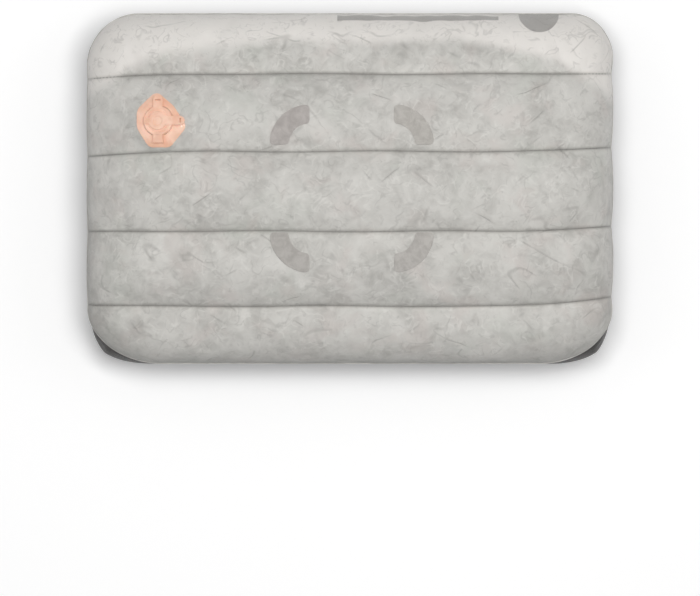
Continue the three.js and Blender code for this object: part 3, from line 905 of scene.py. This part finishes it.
path = rim_path()
turning = sum(a.x * b.y - b.x * a.y for a, b in zip(path, path[1:] + path[:1]))
angles = [math.radians(angle) for angle in range(-150, 151, 30)]
bead = [(BEAD * math.cos(angle), BEAD * math.sin(angle), 0) for angle in angles]
section = loop_curve("rim_section", bead + [(-TONGUE, TONGUE_HALF, 0), (-TONGUE, -TONGUE_HALF, 0)], "2D")
sweep = loop_curve("rim_sweep", path if turning > 0 else path[::-1], "3D")
sweep.data.twist_mode = "Z_UP"
sweep.data.bevel_mode = "OBJECT"
sweep.data.bevel_object = section
rim_mesh = bmesh.new()
rim_mesh.from_mesh(bpy.data.meshes.new_from_object(evaluated(sweep)))
rim_bead = make_object("rim_bead", closed(rim_mesh), welded_edge())
for curve in (sweep, section):
    bpy.data.objects.remove(curve)
attach_soft(rim_bead, "underside", ["rim_weld"])
print("rim is", [round(size / MM, 1) for size in rim_bead.dimensions], "mm")

# %% [markdown]
# ## The stitches
# A run of short thread loops lies in each seam. One stitch is a small capsule with few faces. It is
# copied along the seam, laid on the cover's surface by a ray from above, and turned to follow it.

# %% The stitches
STITCH_PITCH = 3.4 * MM
STITCH_LENGTH = 2.3 * MM
THREAD = 0.32 * MM
SEAM_END = HALF_WIDTH - 6 * MM


def on_cover(x, y):
    """The place and the slope of the top cover above a point in plan."""
    place, slope, _, _ = cover_surface.ray_cast(Vector((x, y, 1.0)), Vector((0, 0, -1)))
    return place, slope


def add_stitch(bm, place, along, up):
    made = bmesh.ops.create_uvsphere(bm, u_segments=6, v_segments=4, radius=THREAD)["verts"]
    stretch = STITCH_LENGTH / 2 - THREAD
    for vertex in made:
        vertex.co.z += math.copysign(stretch, vertex.co.z) if abs(vertex.co.z) > 1e-7 else 0.0
    side = up.cross(along).normalized()
    lie = Matrix((side, along.cross(side), along)).transposed().to_4x4()
    bmesh.ops.transform(bm, matrix=Matrix.Translation(place) @ lie, verts=made)


def thread():
    twist = Recipe("grey_thread", (140, 138, 134), 0.6, Sheen_Weight=0.3)
    x, y, _ = twist.axes()
    turns = twist.ribs(twist.plus(x, y), 0.35 * MM)
    twist.tone = srgb(118, 116, 112)
    twist.tint(twist.between(turns, -1.0, 1.0), 158, 156, 151)
    twist.bump(turns, 0.05 * MM)
    return twist.finished()


stitch_mesh = bmesh.new()
stitches = 0
for number in range(1, CHANNELS):
    x = -SEAM_END
    while x < SEAM_END:
        place, slope = on_cover(x, wall_y(number, x / HALF_WIDTH))
        ahead, _ = on_cover(x + MM, wall_y(number, (x + MM) / HALF_WIDTH))
        if place and ahead:
            along = (ahead - place).normalized()
            add_stitch(stitch_mesh, place + slope * THREAD * 0.4, along, slope)
            x += STITCH_PITCH * along.x
            stitches += 1
        else:
            x += STITCH_PITCH
seam_stitches = make_object("seam_stitches", stitch_mesh, thread())
attach_soft(seam_stitches, "head_side", [])
print(stitches, "stitches in", CHANNELS - 1, "seams")

# %% [markdown]
# ## The grip patches
# Four quarter rings of thin, dense pile hold the pillow on a mat. Each starts as a square grid with
# rounded corners, is bent round its ring's centre, and is laid on the cover. The frame's boxes give the
# rings: the inner corner of a patch's box is the centre that it turns about.

# %% The grip patches
PATCH_THICKNESS = 0.7 * MM
PATCH_CORNER = 3.2 * MM
PATCH_LIFT = 0.15 * MM
PATCH_INNER_SHARE = 16.5 / 31.5
PATCH_TONES = {
    "rear_left": (180, 174, 170),
    "rear_right": (187, 183, 177),
    "front_left": (180, 176, 171),
    "front_right": (184, 180, 175),
}


def pile(name, tone):
    """Short brushed fibres: a fine grain with a soft sheen, lying one way here and another way there."""
    darkest, darker, lighter = ([value + step for value in tone] for step in (-26, -10, 9))
    nap = Recipe(name, tone, 0.9, Sheen_Weight=0.5, Sheen_Roughness=0.6)
    nap.tone = srgb(*darker)
    lie = nap.clouds(7 * MM, 3.0, 0.6, 0.6)
    nap.tint(lie, *lighter)
    grain = nap.clouds(0.5 * MM, 1.0, 0.7, span=(0.35, 0.65))
    nap.tint(nap.times(grain, 0.25), *darkest)
    nap.bump(grain, 0.12 * MM)
    nap.bump(lie, 0.15 * MM)
    return nap.finished()


def grip_patch(corner, tone):
    low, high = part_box(f"lock_patch_{corner}")
    turn_x = -1 if corner.endswith("left") else 1
    turn_y = 1 if corner.startswith("rear") else -1
    outer = high.x - low.x
    inner = outer * PATCH_INNER_SHARE
    centre = Vector((high.x if turn_x < 0 else low.x, low.y if turn_y > 0 else high.y))
    half_wide, middle_radius = (outer - inner) / 2, (outer + inner) / 2
    half_long = middle_radius * math.pi / 4
    bm = bmesh.new()
    for vertex in grid(bm, 20, 40):
        flat = vertex.co.x * half_wide, vertex.co.y * half_long
        across, along = round_corner(*flat, half_wide, half_long, PATCH_CORNER, PATCH_CORNER)
        angle = math.pi / 4 * (1 + along / half_long)
        radius = middle_radius + across
        x = centre.x + turn_x * radius * math.cos(angle)
        y = centre.y + turn_y * radius * math.sin(angle)
        place, slope = on_cover(x, y)
        vertex.co = place + slope * PATCH_LIFT
    face_towards(bm, Vector((0, 0, 1)))
    patch = make_object(f"grip_patch_{corner}", bm, pile(f"brushed_pile_{corner}", tone))
    thicken(patch, PATCH_THICKNESS, 1.0)
    ease_edges(patch, 0.25 * MM, 2)
    attach_soft(patch, "head_side", [f"lock_patch_{corner}"])


for corner, tone in PATCH_TONES.items():
    grip_patch(corner, tone)

# %% [markdown]
# ## The layers inside
# Everything inside follows the covers: down pads right under the top cloth, then the bladder's film, and
# the same film above the lower cover. So each layer is cut from the inflated shell and moved inwards,
# square to the cloth. Near the rim all layers come together, and along the seams they are drawn close.

# %% Layers from the shell
RIM_DEPTH = 0.9 * MM
RIM_BLEND = 26 * MM


def smooth_step(value):
    value = min(1.0, max(0.0, value))
    return value * value * (3 - 2 * value)


def layer(name, side, depth_at, keep_at=lambda s, channel, share: True, bore=BORE_RADIUS):
    """A sheet inside one cover. depth_at gives its depth at a place, keep_at says whether it goes there."""
    bm = bmesh.new()
    bm.from_mesh(shell.data)
    side_of = bm.faces.layers.int["side"]
    flat_u, flat_v = (bm.verts.layers.float[key] for key in ("flat_u", "flat_v"))
    bm.normal_update()
    normals = {}
    for vertex in bm.verts:
        own = [face.normal for face in vertex.link_faces if face[side_of] == side]
        normals[vertex] = sum(own, Vector()).normalized() if own else vertex.normal.copy()

    def place_of(face):
        corners = face.verts
        mean = (sum(corner[key] for corner in corners) / len(corners) for key in (flat_u, flat_v))
        return grid_place(*mean)

    unwanted = [face for face in bm.faces if face[side_of] != side or not keep_at(*place_of(face))]
    for vertex in bm.verts:
        place = grid_place(vertex[flat_u], vertex[flat_v])
        settled = smooth_step(abs(vertex.co.z - RIM_LEVEL) / RIM_BLEND)
        vertex.co -= normals[vertex] * (RIM_DEPTH + (depth_at(*place) - RIM_DEPTH) * settled)
    bmesh.ops.delete(bm, geom=unwanted, context="FACES")
    if side > 0:
        open_bore(bm, bore)
    return make_object(name, bm)


# %% [markdown]
# Down is not a sheet but loose clusters, so a pad is lumpy, thick in the middle of its channel and thin
# at its edges. A vertex group tells Solidify how thick to make each place, and noise adds the lumps.

# %% The down pads
PAD_TOP = 1.3 * MM
PAD_THICKNESS = 6.5 * MM
PAD_REACH = 0.93
PAD_MARGIN = 0.09
PAD_BORE = 13 * MM


def down_clusters():
    down = Recipe("white_down", (240, 237, 231), 0.95, Subsurface_Weight=0.15, Sheen_Weight=0.6)
    clusters = down.clouds(9 * MM, 4.0, 0.65, 0.8)
    down.tone = srgb(222, 218, 210)
    down.tint(clusters, 248, 246, 242)
    down.bump(clusters, 1.2 * MM)
    down.bump(down.noise(1.2 * MM, 2.0, 0.7), 0.3 * MM)
    return down.finished()


def down_pad(wanted, down):
    def in_pad(s, channel, share):
        return channel == wanted and abs(s) < PAD_REACH and PAD_MARGIN < share < 1 - PAD_MARGIN

    pad = layer(f"down_pad_{wanted + 1}", 1, lambda s, channel, share: PAD_TOP, in_pad, PAD_BORE)
    places = flat_places(pad)
    thick = pad.vertex_groups.new(name="thick")
    for vertex, (s, _, share) in zip(pad.data.vertices, places):
        lump = 0.12 * noise.noise(vertex.co * 70)
        level = crown(share) * smooth_step((1 - abs(s) / (PAD_REACH + 0.02)) * 6)
        thick.add([vertex.index], min(1.0, max(0.1, 0.12 + 0.72 * level + lump)), "REPLACE")
    pad.data.materials.append(down)
    thicken(pad, PAD_THICKNESS).vertex_group = "thick"
    attach_soft(pad, "head_side", [f"down_fill_{wanted + 1}"])


DOWN = down_clusters()
for channel in range(CHANNELS):
    down_pad(channel, DOWN)

# %% [markdown]
# The bladder is two sheets of clear film. They carry the air, so they are tight and smooth, and the four
# baffles that tie them together are welded on along the seams. Each weld shows as a band with fine ribs.

# %% The bladder films
FILM_THICKNESS = 0.25 * MM
UPPER_SEAM_DEPTH = 3.2 * MM
UPPER_CROWN_DEPTH = 9.8 * MM
LOWER_DEPTH = 1.8 * MM
LOWER_REST_LEVEL = 1.2 * MM
WELD_WIDTH = 4 * MM


def clear_film():
    film = Recipe("bladder_film", (184, 192, 192), 0.32, Coat_Weight=0.2, Transmission_Weight=0.15)
    haze = film.clouds(22 * MM)
    film.tone = srgb(174, 183, 184)
    film.tint(haze, 198, 204, 203)
    weld = film.attribute("weld_band")
    film.tint(film.times(weld, 0.6), 150, 158, 160)
    film.roughness(film.between(haze, 0.0, 1.0, 0.26, 0.42))
    _, y, _ = film.axes()
    film.bump(film.times(film.ribs(y, 1.2 * MM), weld), 0.12 * MM)
    film.bump(film.noise(6 * MM, 2.0, 0.5, 0.5), 0.1 * MM)
    return film.finished()


def weld_band(from_weld):
    """1 on a weld and 0 away from it, with a short fall between."""
    return 1 / (1 + (from_weld / WELD_WIDTH) ** 6)


def upper_depth(s, channel, share):
    return UPPER_SEAM_DEPTH + (UPPER_CROWN_DEPTH - UPPER_SEAM_DEPTH) * crown(share)


FILM = clear_film()
upper_film = layer("upper_film", 1, upper_depth)
lower_film = layer("lower_film", -1, lambda s, channel, share: LOWER_DEPTH)
settled = points_of(lower_film)
settled[:, 2] = np.maximum(settled[:, 2], LOWER_REST_LEVEL)
set_points(lower_film, settled)
for film, body, node in (
    (upper_film, "head_side", "bladder_upper_film"),
    (lower_film, "underside", "bladder_lower_film"),
):
    write_attribute(film, "weld_band", weld_band(seam_distance(points_of(film))))
    film.data.materials.append(FILM)
    thicken(film, FILM_THICKNESS)
    attach_soft(film, body, [node])
bpy.data.objects.remove(shell)
upper_surface, lower_surface = (surface_of(film) for film in (upper_film, lower_film))

# %% [markdown]
# A baffle is a strip of the same film on edge. Its top and bottom follow the two films along a seam,
# which rays find, and in between it bows a little, because the air presses on it from both sides.

# %% The baffles
BAFFLE_GAP = 0.4 * MM
BAFFLE_THICKNESS = 0.4 * MM
BAFFLE_BOW = 1.2 * MM

for number in range(1, CHANNELS):
    low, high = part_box(f"baffle_{number}")
    half_long = (high.x - low.x) / 2
    strip = bmesh.new()
    band = strip.verts.layers.float.new("weld_band")
    for vertex in grid(strip, 80, 20):
        along, up = vertex.co.x, (vertex.co.y + 1) / 2
        x = along * half_long
        y = wall_y(number, x / HALF_WIDTH)
        start = Vector((x, y, RIM_LEVEL))
        above = upper_surface.ray_cast(start, Vector((0, 0, 1)))[0].z - BAFFLE_GAP
        below = lower_surface.ray_cast(start, Vector((0, 0, -1)))[0].z + BAFFLE_GAP
        bow = BAFFLE_BOW * math.sin(math.pi * up) * math.sin(7 * along + number)
        vertex.co = (x, y + bow, below + (above - below) * up)
        vertex[band] = weld_band(min(up, 1 - up) * (above - below))
    bmesh.ops.recalc_face_normals(strip, faces=strip.faces[:])
    baffle = make_object(f"baffle_strip_{number}", strip, FILM)
    thicken(baffle, BAFFLE_THICKNESS, 0.0)
    attach_soft(baffle, "underside", [f"baffle_{number}"])

# %% [markdown]
# ## The valve
# The valve is moulded in one soft plastic and has three stages. The whole flap swings open to let the air
# out at once, the small cap on it swings open for inflating, and a thin disc below keeps the air in, with
# a button to let a little out. Its pieces are drawn in millimetres in the valve's own frame, with the
# bore's axis as Z, and only then moved onto the cover. Round pieces are a profile that is spun about the
# axis, and tabs, blocks and slots are joined to them or cut from them.

# %% Tools for moulded pieces
LIP = 0.14 * MM
ROUND_STEPS = 72


def spun(profile, steps=ROUND_STEPS):
    """A closed profile of radius and height, or one that starts and ends on the axis, turned about it."""
    bm = bmesh.new()
    points = [bm.verts.new((radius, 0, height)) for radius, height in profile]
    pairs = list(zip(points, points[1:]))
    if profile[0][0] > 0:
        pairs.append((points[-1], points[0]))
    lines = [bm.edges.new(pair) for pair in pairs]
    bmesh.ops.spin(
        bm, geom=points + lines, cent=(0, 0, 0), axis=(0, 0, 1), angle=2 * math.pi, steps=steps,
        use_merge=True)
    return make_object("turned", closed(bm, 0.001))


def box_mesh(*spans):
    """A box between limits along X, Y and Z."""
    bm = bmesh.new()
    bmesh.ops.create_cube(bm, size=1)
    bmesh.ops.scale(bm, vec=[high - low for low, high in spans], verts=bm.verts[:])
    bmesh.ops.translate(bm, vec=[(low + high) / 2 for low, high in spans], verts=bm.verts[:])
    return bm


def block(*spans):
    return make_object("block", box_mesh(*spans))


def rounded_slab(centre_y, stretch, radius, z_span, flat_from=None):
    """A round plate, stretched along X by moving its two halves apart, or grown back to a straight end."""
    bm = bmesh.new()
    bmesh.ops.create_circle(bm, segments=32, radius=radius, cap_ends=True)
    for vertex in bm.verts:
        vertex.co.x += math.copysign(stretch, vertex.co.x) if abs(vertex.co.x) > 1e-4 else 0.0
        vertex.co.y = flat_from if flat_from is not None and vertex.co.y < -1e-4 else vertex.co.y + centre_y
        vertex.co.z = z_span[0]
    raised = bmesh.ops.extrude_face_region(bm, geom=bm.faces[:])["geom"]
    top = [item for item in raised if isinstance(item, bmesh.types.BMVert)]
    bmesh.ops.translate(bm, vec=(0, 0, z_span[1] - z_span[0]), verts=top)
    return make_object("slab", closed(bm, 0.001))


def combine(piece, others, operation="UNION"):
    for other in others:
        joined = piece.modifiers.new("join", "BOOLEAN")
        joined.operation = operation
        joined.solver = "EXACT"
        joined.object = other
        bake(piece)
        bpy.data.objects.remove(other)
    return piece


def placed(piece, name, material, spin=0.0):
    """Moves a piece from millimetres in the valve's frame to its place, and gives it its finish."""
    piece.name = piece.data.name = name
    piece.data.transform(VALVE @ Matrix.Rotation(spin, 4, "Z"))
    piece.data.materials.clear()
    piece.data.materials.append(material)
    return piece


def moulded(piece, name, material, spin=0.0):
    """A placed piece with the small rounding that a mould leaves on every edge."""
    placed(piece, name, material, spin).data.shade_smooth()
    ease_edges(piece, LIP, 2, 35).harden_normals = True
    return piece


# %% [markdown]
# The orange plastic is a soft, slightly cloudy TPU. It is matt from its mould, a little shinier where
# fingers have rubbed it, and not quite one colour. The seals and the disc are clear silicone.

# %% Finishes of the valve


def orange_plastic():
    tpu = Recipe(
        "orange_tpu", (240, 195, 170), 0.5, Subsurface_Weight=0.1, Subsurface_Scale=1.5 * MM,
        Coat_Weight=0.08)
    tpu.tone = srgb(236, 186, 159)
    tpu.tint(tpu.clouds(11 * MM, 3.0, 0.5, 0.5), 250, 208, 185)
    tpu.tint(tpu.clouds(19 * MM, 2.0, span=(0.5, 0.75), strength=0.35), 250, 203, 188)
    tpu.roughness(tpu.between(tpu.noise(6 * MM), 0.3, 0.7, 0.42, 0.6))
    tpu.bump(tpu.noise(0.7 * MM, 2.0, 0.6), 0.03 * MM)
    tpu.bump(tpu.noise(8 * MM, 1.0), 0.08 * MM)
    return tpu.finished()


def silicone():
    clear = Recipe(
        "clear_silicone", (216, 216, 210), 0.3, Subsurface_Weight=0.2, Subsurface_Scale=1 * MM,
        Transmission_Weight=0.2)
    haze = clear.clouds(3 * MM)
    clear.tone = srgb(206, 207, 202)
    clear.tint(haze, 226, 226, 221)
    clear.roughness(clear.between(haze, 0.0, 1.0, 0.24, 0.4))
    clear.bump(clear.noise(1.5 * MM, 2.0), 0.02 * MM)
    return clear.finished()


ORANGE = orange_plastic()
SILICONE = silicone()

# %% [markdown]
# ### The plate that is welded to the cover
# The plate has a straight edge at its front and left, and a lobe under each finger tab. Its outline is a
# polygon with softened corners. The plate is soft, so it lies on the cover as the cover is: rays along
# the valve's axis find it. Three shallow grooves near its edge are where the weld has pressed it down.

# %% The welded plate
PLATE_CORNERS = [
    (23, -4), (23, 3), (12, 12), (5, 22.5), (-4, 22.5), (-17.7, 9), (-17.7, -5), (-8, -20.5), (9, -20.5),
]
PLATE_SOFTNESS = math.radians(9)
PLATE_BORE = 12.15
PLATE_THICKNESS = 0.9 * MM
PLATE_LIFT = 0.25 * MM
GROOVE_DEPTH = 0.16 * MM
GROOVES = 3


def plate_radius(angle):
    """From the axis to the polygon's edge."""
    across, up = math.cos(angle), math.sin(angle)
    nearest = 99.0
    for (x1, y1), (x2, y2) in zip(PLATE_CORNERS, PLATE_CORNERS[1:] + PLATE_CORNERS[:1]):
        facing = across * (y2 - y1) - up * (x2 - x1)
        if facing > 1e-9:
            nearest = min(nearest, (x1 * y2 - x2 * y1) / facing)
    return nearest


def soft_radius(angle):
    spread = [PLATE_SOFTNESS * k / 4 for k in range(-4, 5)]
    return sum(plate_radius(angle + offset) for offset in spread) / len(spread)


plate_mesh = bmesh.new()
for vertex in grid(plate_mesh, 22, 180):
    share, angle = (vertex.co.x + 1) / 2, math.pi * vertex.co.y
    edge_radius = soft_radius(angle)
    radius = PLATE_BORE + (edge_radius - PLATE_BORE) * share
    from_edge = edge_radius - radius
    start = VALVE @ Vector((radius * math.cos(angle), radius * math.sin(angle), 30))
    hit = cover_surface.ray_cast(start, -valve_z)[0]
    groove = GROOVE_DEPTH * math.sin(math.pi * from_edge) ** 2 if from_edge < GROOVES else 0.0
    vertex.co = hit + valve_z * (PLATE_LIFT - groove)
bmesh.ops.remove_doubles(plate_mesh, verts=plate_mesh.verts[:], dist=1e-6)
face_towards(plate_mesh, valve_z)
valve_plate = make_object("valve_plate", plate_mesh, ORANGE)
thicken(valve_plate, PLATE_THICKNESS, 1.0)
ease_edges(valve_plate, 0.3 * MM, 3, 50)
attach_soft(valve_plate, "head_side", ["valve_flange"])

# %% [markdown]
# ### The tube
# The tube goes down into the bladder. An anchor block on its front side holds the flap's hinge strap.

# %% The tube
TUBE_BORE = 9.5
TUBE_RADIUS = 12
TUBE_LOW = -14
TUBE_TOP = 2
ANCHOR_X = (-4.5, 4.5)
ANCHOR_Y = (-17.65, -14.65)
ANCHOR_Z = (0.9, 2.95)

tube = spun([
    (TUBE_BORE, TUBE_LOW), (TUBE_RADIUS - 0.6, TUBE_LOW), (TUBE_RADIUS, TUBE_LOW + 1.5),
    (TUBE_RADIUS, TUBE_TOP - 0.3), (TUBE_RADIUS - 0.3, TUBE_TOP), (TUBE_BORE + 0.4, TUBE_TOP),
    (TUBE_BORE, TUBE_TOP - 0.4),
])
foot = block(ANCHOR_X, (ANCHOR_Y[0], -TUBE_BORE - 1), (ANCHOR_Z[0], TUBE_TOP - 0.05))
combine(tube, [foot, block(ANCHOR_X, ANCHOR_Y, ANCHOR_Z)])
attach(moulded(tube, "valve_tube", ORANGE), "head_side", ["valve_body"])

# %% [markdown]
# ### The flap
# The flap is a ring with a plug that fits the tube. Under its bore, three arms hold a small hub for the
# disc's stem. A finger tab with a slot points to the rear, and a low anchor at the left holds the cap.

# %% The flap
FLAP_BORE = 5.5
FLAP_RIM = 11.5
FLAP_UNDER = 2.3
SPIDER_LOW, SPIDER_HIGH = -2.5, -1.3
SPIDER_ARMS = 3
GROOVE = 7.9
HUB_RADIUS = 2.6
STEM_HOLE = 1.5
TAB_THICKNESS = 1.1


def finger_tab(root, length, width, top):
    """A tab along +Y with a round end and a short slot near it."""
    end_centre = root + length - width / 2
    tab = rounded_slab(end_centre, 0, width / 2, (top - TAB_THICKNESS, top), flat_from=root)
    slot = rounded_slab(end_centre, width / 5, 0.6, (top - 3, top + 1))
    return combine(tab, [slot], "DIFFERENCE")


flap = spun([
    (FLAP_BORE, SPIDER_LOW), (8.4, SPIDER_LOW), (8.6, -1.4), (GROOVE, -1.4), (GROOVE, 0.2), (8.9, 0.2),
    (9.1, FLAP_UNDER), (FLAP_RIM - 0.2, FLAP_UNDER), (FLAP_RIM, FLAP_UNDER + 0.3),
    (FLAP_RIM, FLAP_TOP - 0.35), (FLAP_RIM - 0.35, FLAP_TOP), (9.6, FLAP_TOP), (9.3, FLAP_TOP - 0.3),
    (8.7, FLAP_TOP - 0.3), (8.4, FLAP_TOP), (FLAP_BORE, FLAP_TOP),
])
hub = spun([
    (STEM_HOLE, SPIDER_LOW), (HUB_RADIUS, SPIDER_LOW), (HUB_RADIUS, SPIDER_HIGH), (STEM_HOLE, SPIDER_HIGH),
], 32)
arms = []
for number in range(SPIDER_ARMS):
    arm = block((HUB_RADIUS - 0.6, FLAP_BORE + 0.6), (-0.7, 0.7), (SPIDER_LOW + 0.05, SPIDER_HIGH - 0.05))
    arm.data.transform(Matrix.Rotation(number * 2 * math.pi / SPIDER_ARMS, 4, "Z"))
    arms.append(arm)
cap_anchor = block((-11.25, -9.85), (-3, 3), (3.0, 4.35))
combine(flap, [finger_tab(FLAP_RIM - 1.5, 10.5, 8, FLAP_TOP - 0.02), hub, *arms, cap_anchor])
attach(moulded(flap, "deflation_lid", ORANGE), "flap", ["deflation_flap"])

# %% [markdown]
# Both seals are square rings of silicone in the grooves of their plugs. The profile is spun like the
# rest, with its corners eased.

# %% The seals


def gasket(name, inner, outer, low, high, body, node):
    ease = min(outer - inner, high - low) / 4
    ring = spun([
        (inner, low + ease), (inner + ease, low), (outer - ease, low), (outer, low + ease),
        (outer, high - ease), (outer - ease, high), (inner + ease, high), (inner, high - ease),
    ])
    attach(placed(ring, name, SILICONE), body, [node])


gasket("flap_gasket", 8.2, 9.0, -1.1, -0.1, "flap", "flap_seal")
gasket("cap_gasket", 4.6, 5.1, 2.0, 2.4, "cap", "cap_seal")

# %% [markdown]
# ### The cap
# The cap plugs the flap's bore. It has a dished top, its tab points to the right, and its hinge is at the
# left. It is drawn like the flap, with its tab to the rear, and then turned.

# %% The cap
CAP_UNDER = 3.8
CAP_TOP = 5.0
CAP_RIM = 7.4
CAP_TURN = -math.pi / 2

cap = spun([
    (0, 1.1), (4.55, 1.1), (4.8, 1.3), (4.85, 1.7), (4.3, 1.7), (4.3, 2.7), (5.0, 2.7), (5.1, CAP_UNDER),
    (CAP_RIM - 0.2, CAP_UNDER), (CAP_RIM, CAP_UNDER + 0.3), (CAP_RIM, CAP_TOP - 0.4),
    (CAP_RIM - 0.4, CAP_TOP), (4.1, CAP_TOP), (3.7, CAP_TOP - 0.1), (3.3, CAP_TOP - 0.5), (0, CAP_TOP - 0.6),
])
combine(cap, [finger_tab(CAP_RIM - 1.5, 16, 7, CAP_TOP - 0.02)])
attach(moulded(cap, "inflation_lid", ORANGE, CAP_TURN), "cap", ["inflation_cap"])

# %% [markdown]
# ### The two hinge straps
# A living hinge is one thin strap that bends. It is fixed to an anchor at one end and to a lid at the
# other, so each strap blends between the two bodies that its joint ties together, over the two
# millimetres round the hinge line.

# %% The hinge straps
STRAP_THICKNESS = 0.65
STRAP_CUTS = 40
BEND_REACH = 1.1


def strap(name, half_width, y_span, top, hinge_y, bodies, spin=0.0):
    bm = box_mesh((-half_width, half_width), y_span, (top - STRAP_THICKNESS, top))
    lengthwise = [edge for edge in bm.edges if abs(edge.verts[0].co.y - edge.verts[1].co.y) > 1]
    bmesh.ops.subdivide_edges(bm, edges=lengthwise, cuts=STRAP_CUTS, use_grid_fill=True)
    piece = moulded(make_object("strap", closed(bm, 0.001)), name, ORANGE, spin)
    to_place = VALVE @ Matrix.Rotation(spin, 4, "Z")
    start, end = (to_place @ Vector((0, hinge_y + step, top)) for step in (-BEND_REACH, BEND_REACH))
    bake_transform(piece, *bodies, start=start, end=end)
    print(f"{name}: bends between {bodies[0]} and {bodies[1]}")


strap("flap_hinge_strap", 3.75, (-17.3, -10.6), FLAP_TOP, -HINGE_LINE, ("head_side", "flap"))
strap("cap_hinge_strap", 2.5, (-11.1, -6.6), CAP_TOP, -9.7, ("flap", "cap"), CAP_TURN)

# %% [markdown]
# ### The check disc
# A thin disc closes the bore from below, and its stem carries a button up to where a finger reaches it.

# %% The check disc
disc = spun([
    (0, -3.6), (6.6, -3.45), (7.0, -3.3), (7.0, -2.95), (6.7, -2.8), (1.5, -2.8), (1.2, -2.5), (1.2, 0.1),
    (2.2, 0.1), (2.4, 0.25), (2.4, 0.45), (2.1, 0.7), (1.2, 0.82), (0, 0.85),
])
attach(moulded(disc, "check_flap", SILICONE), "check", ["check_disc"])
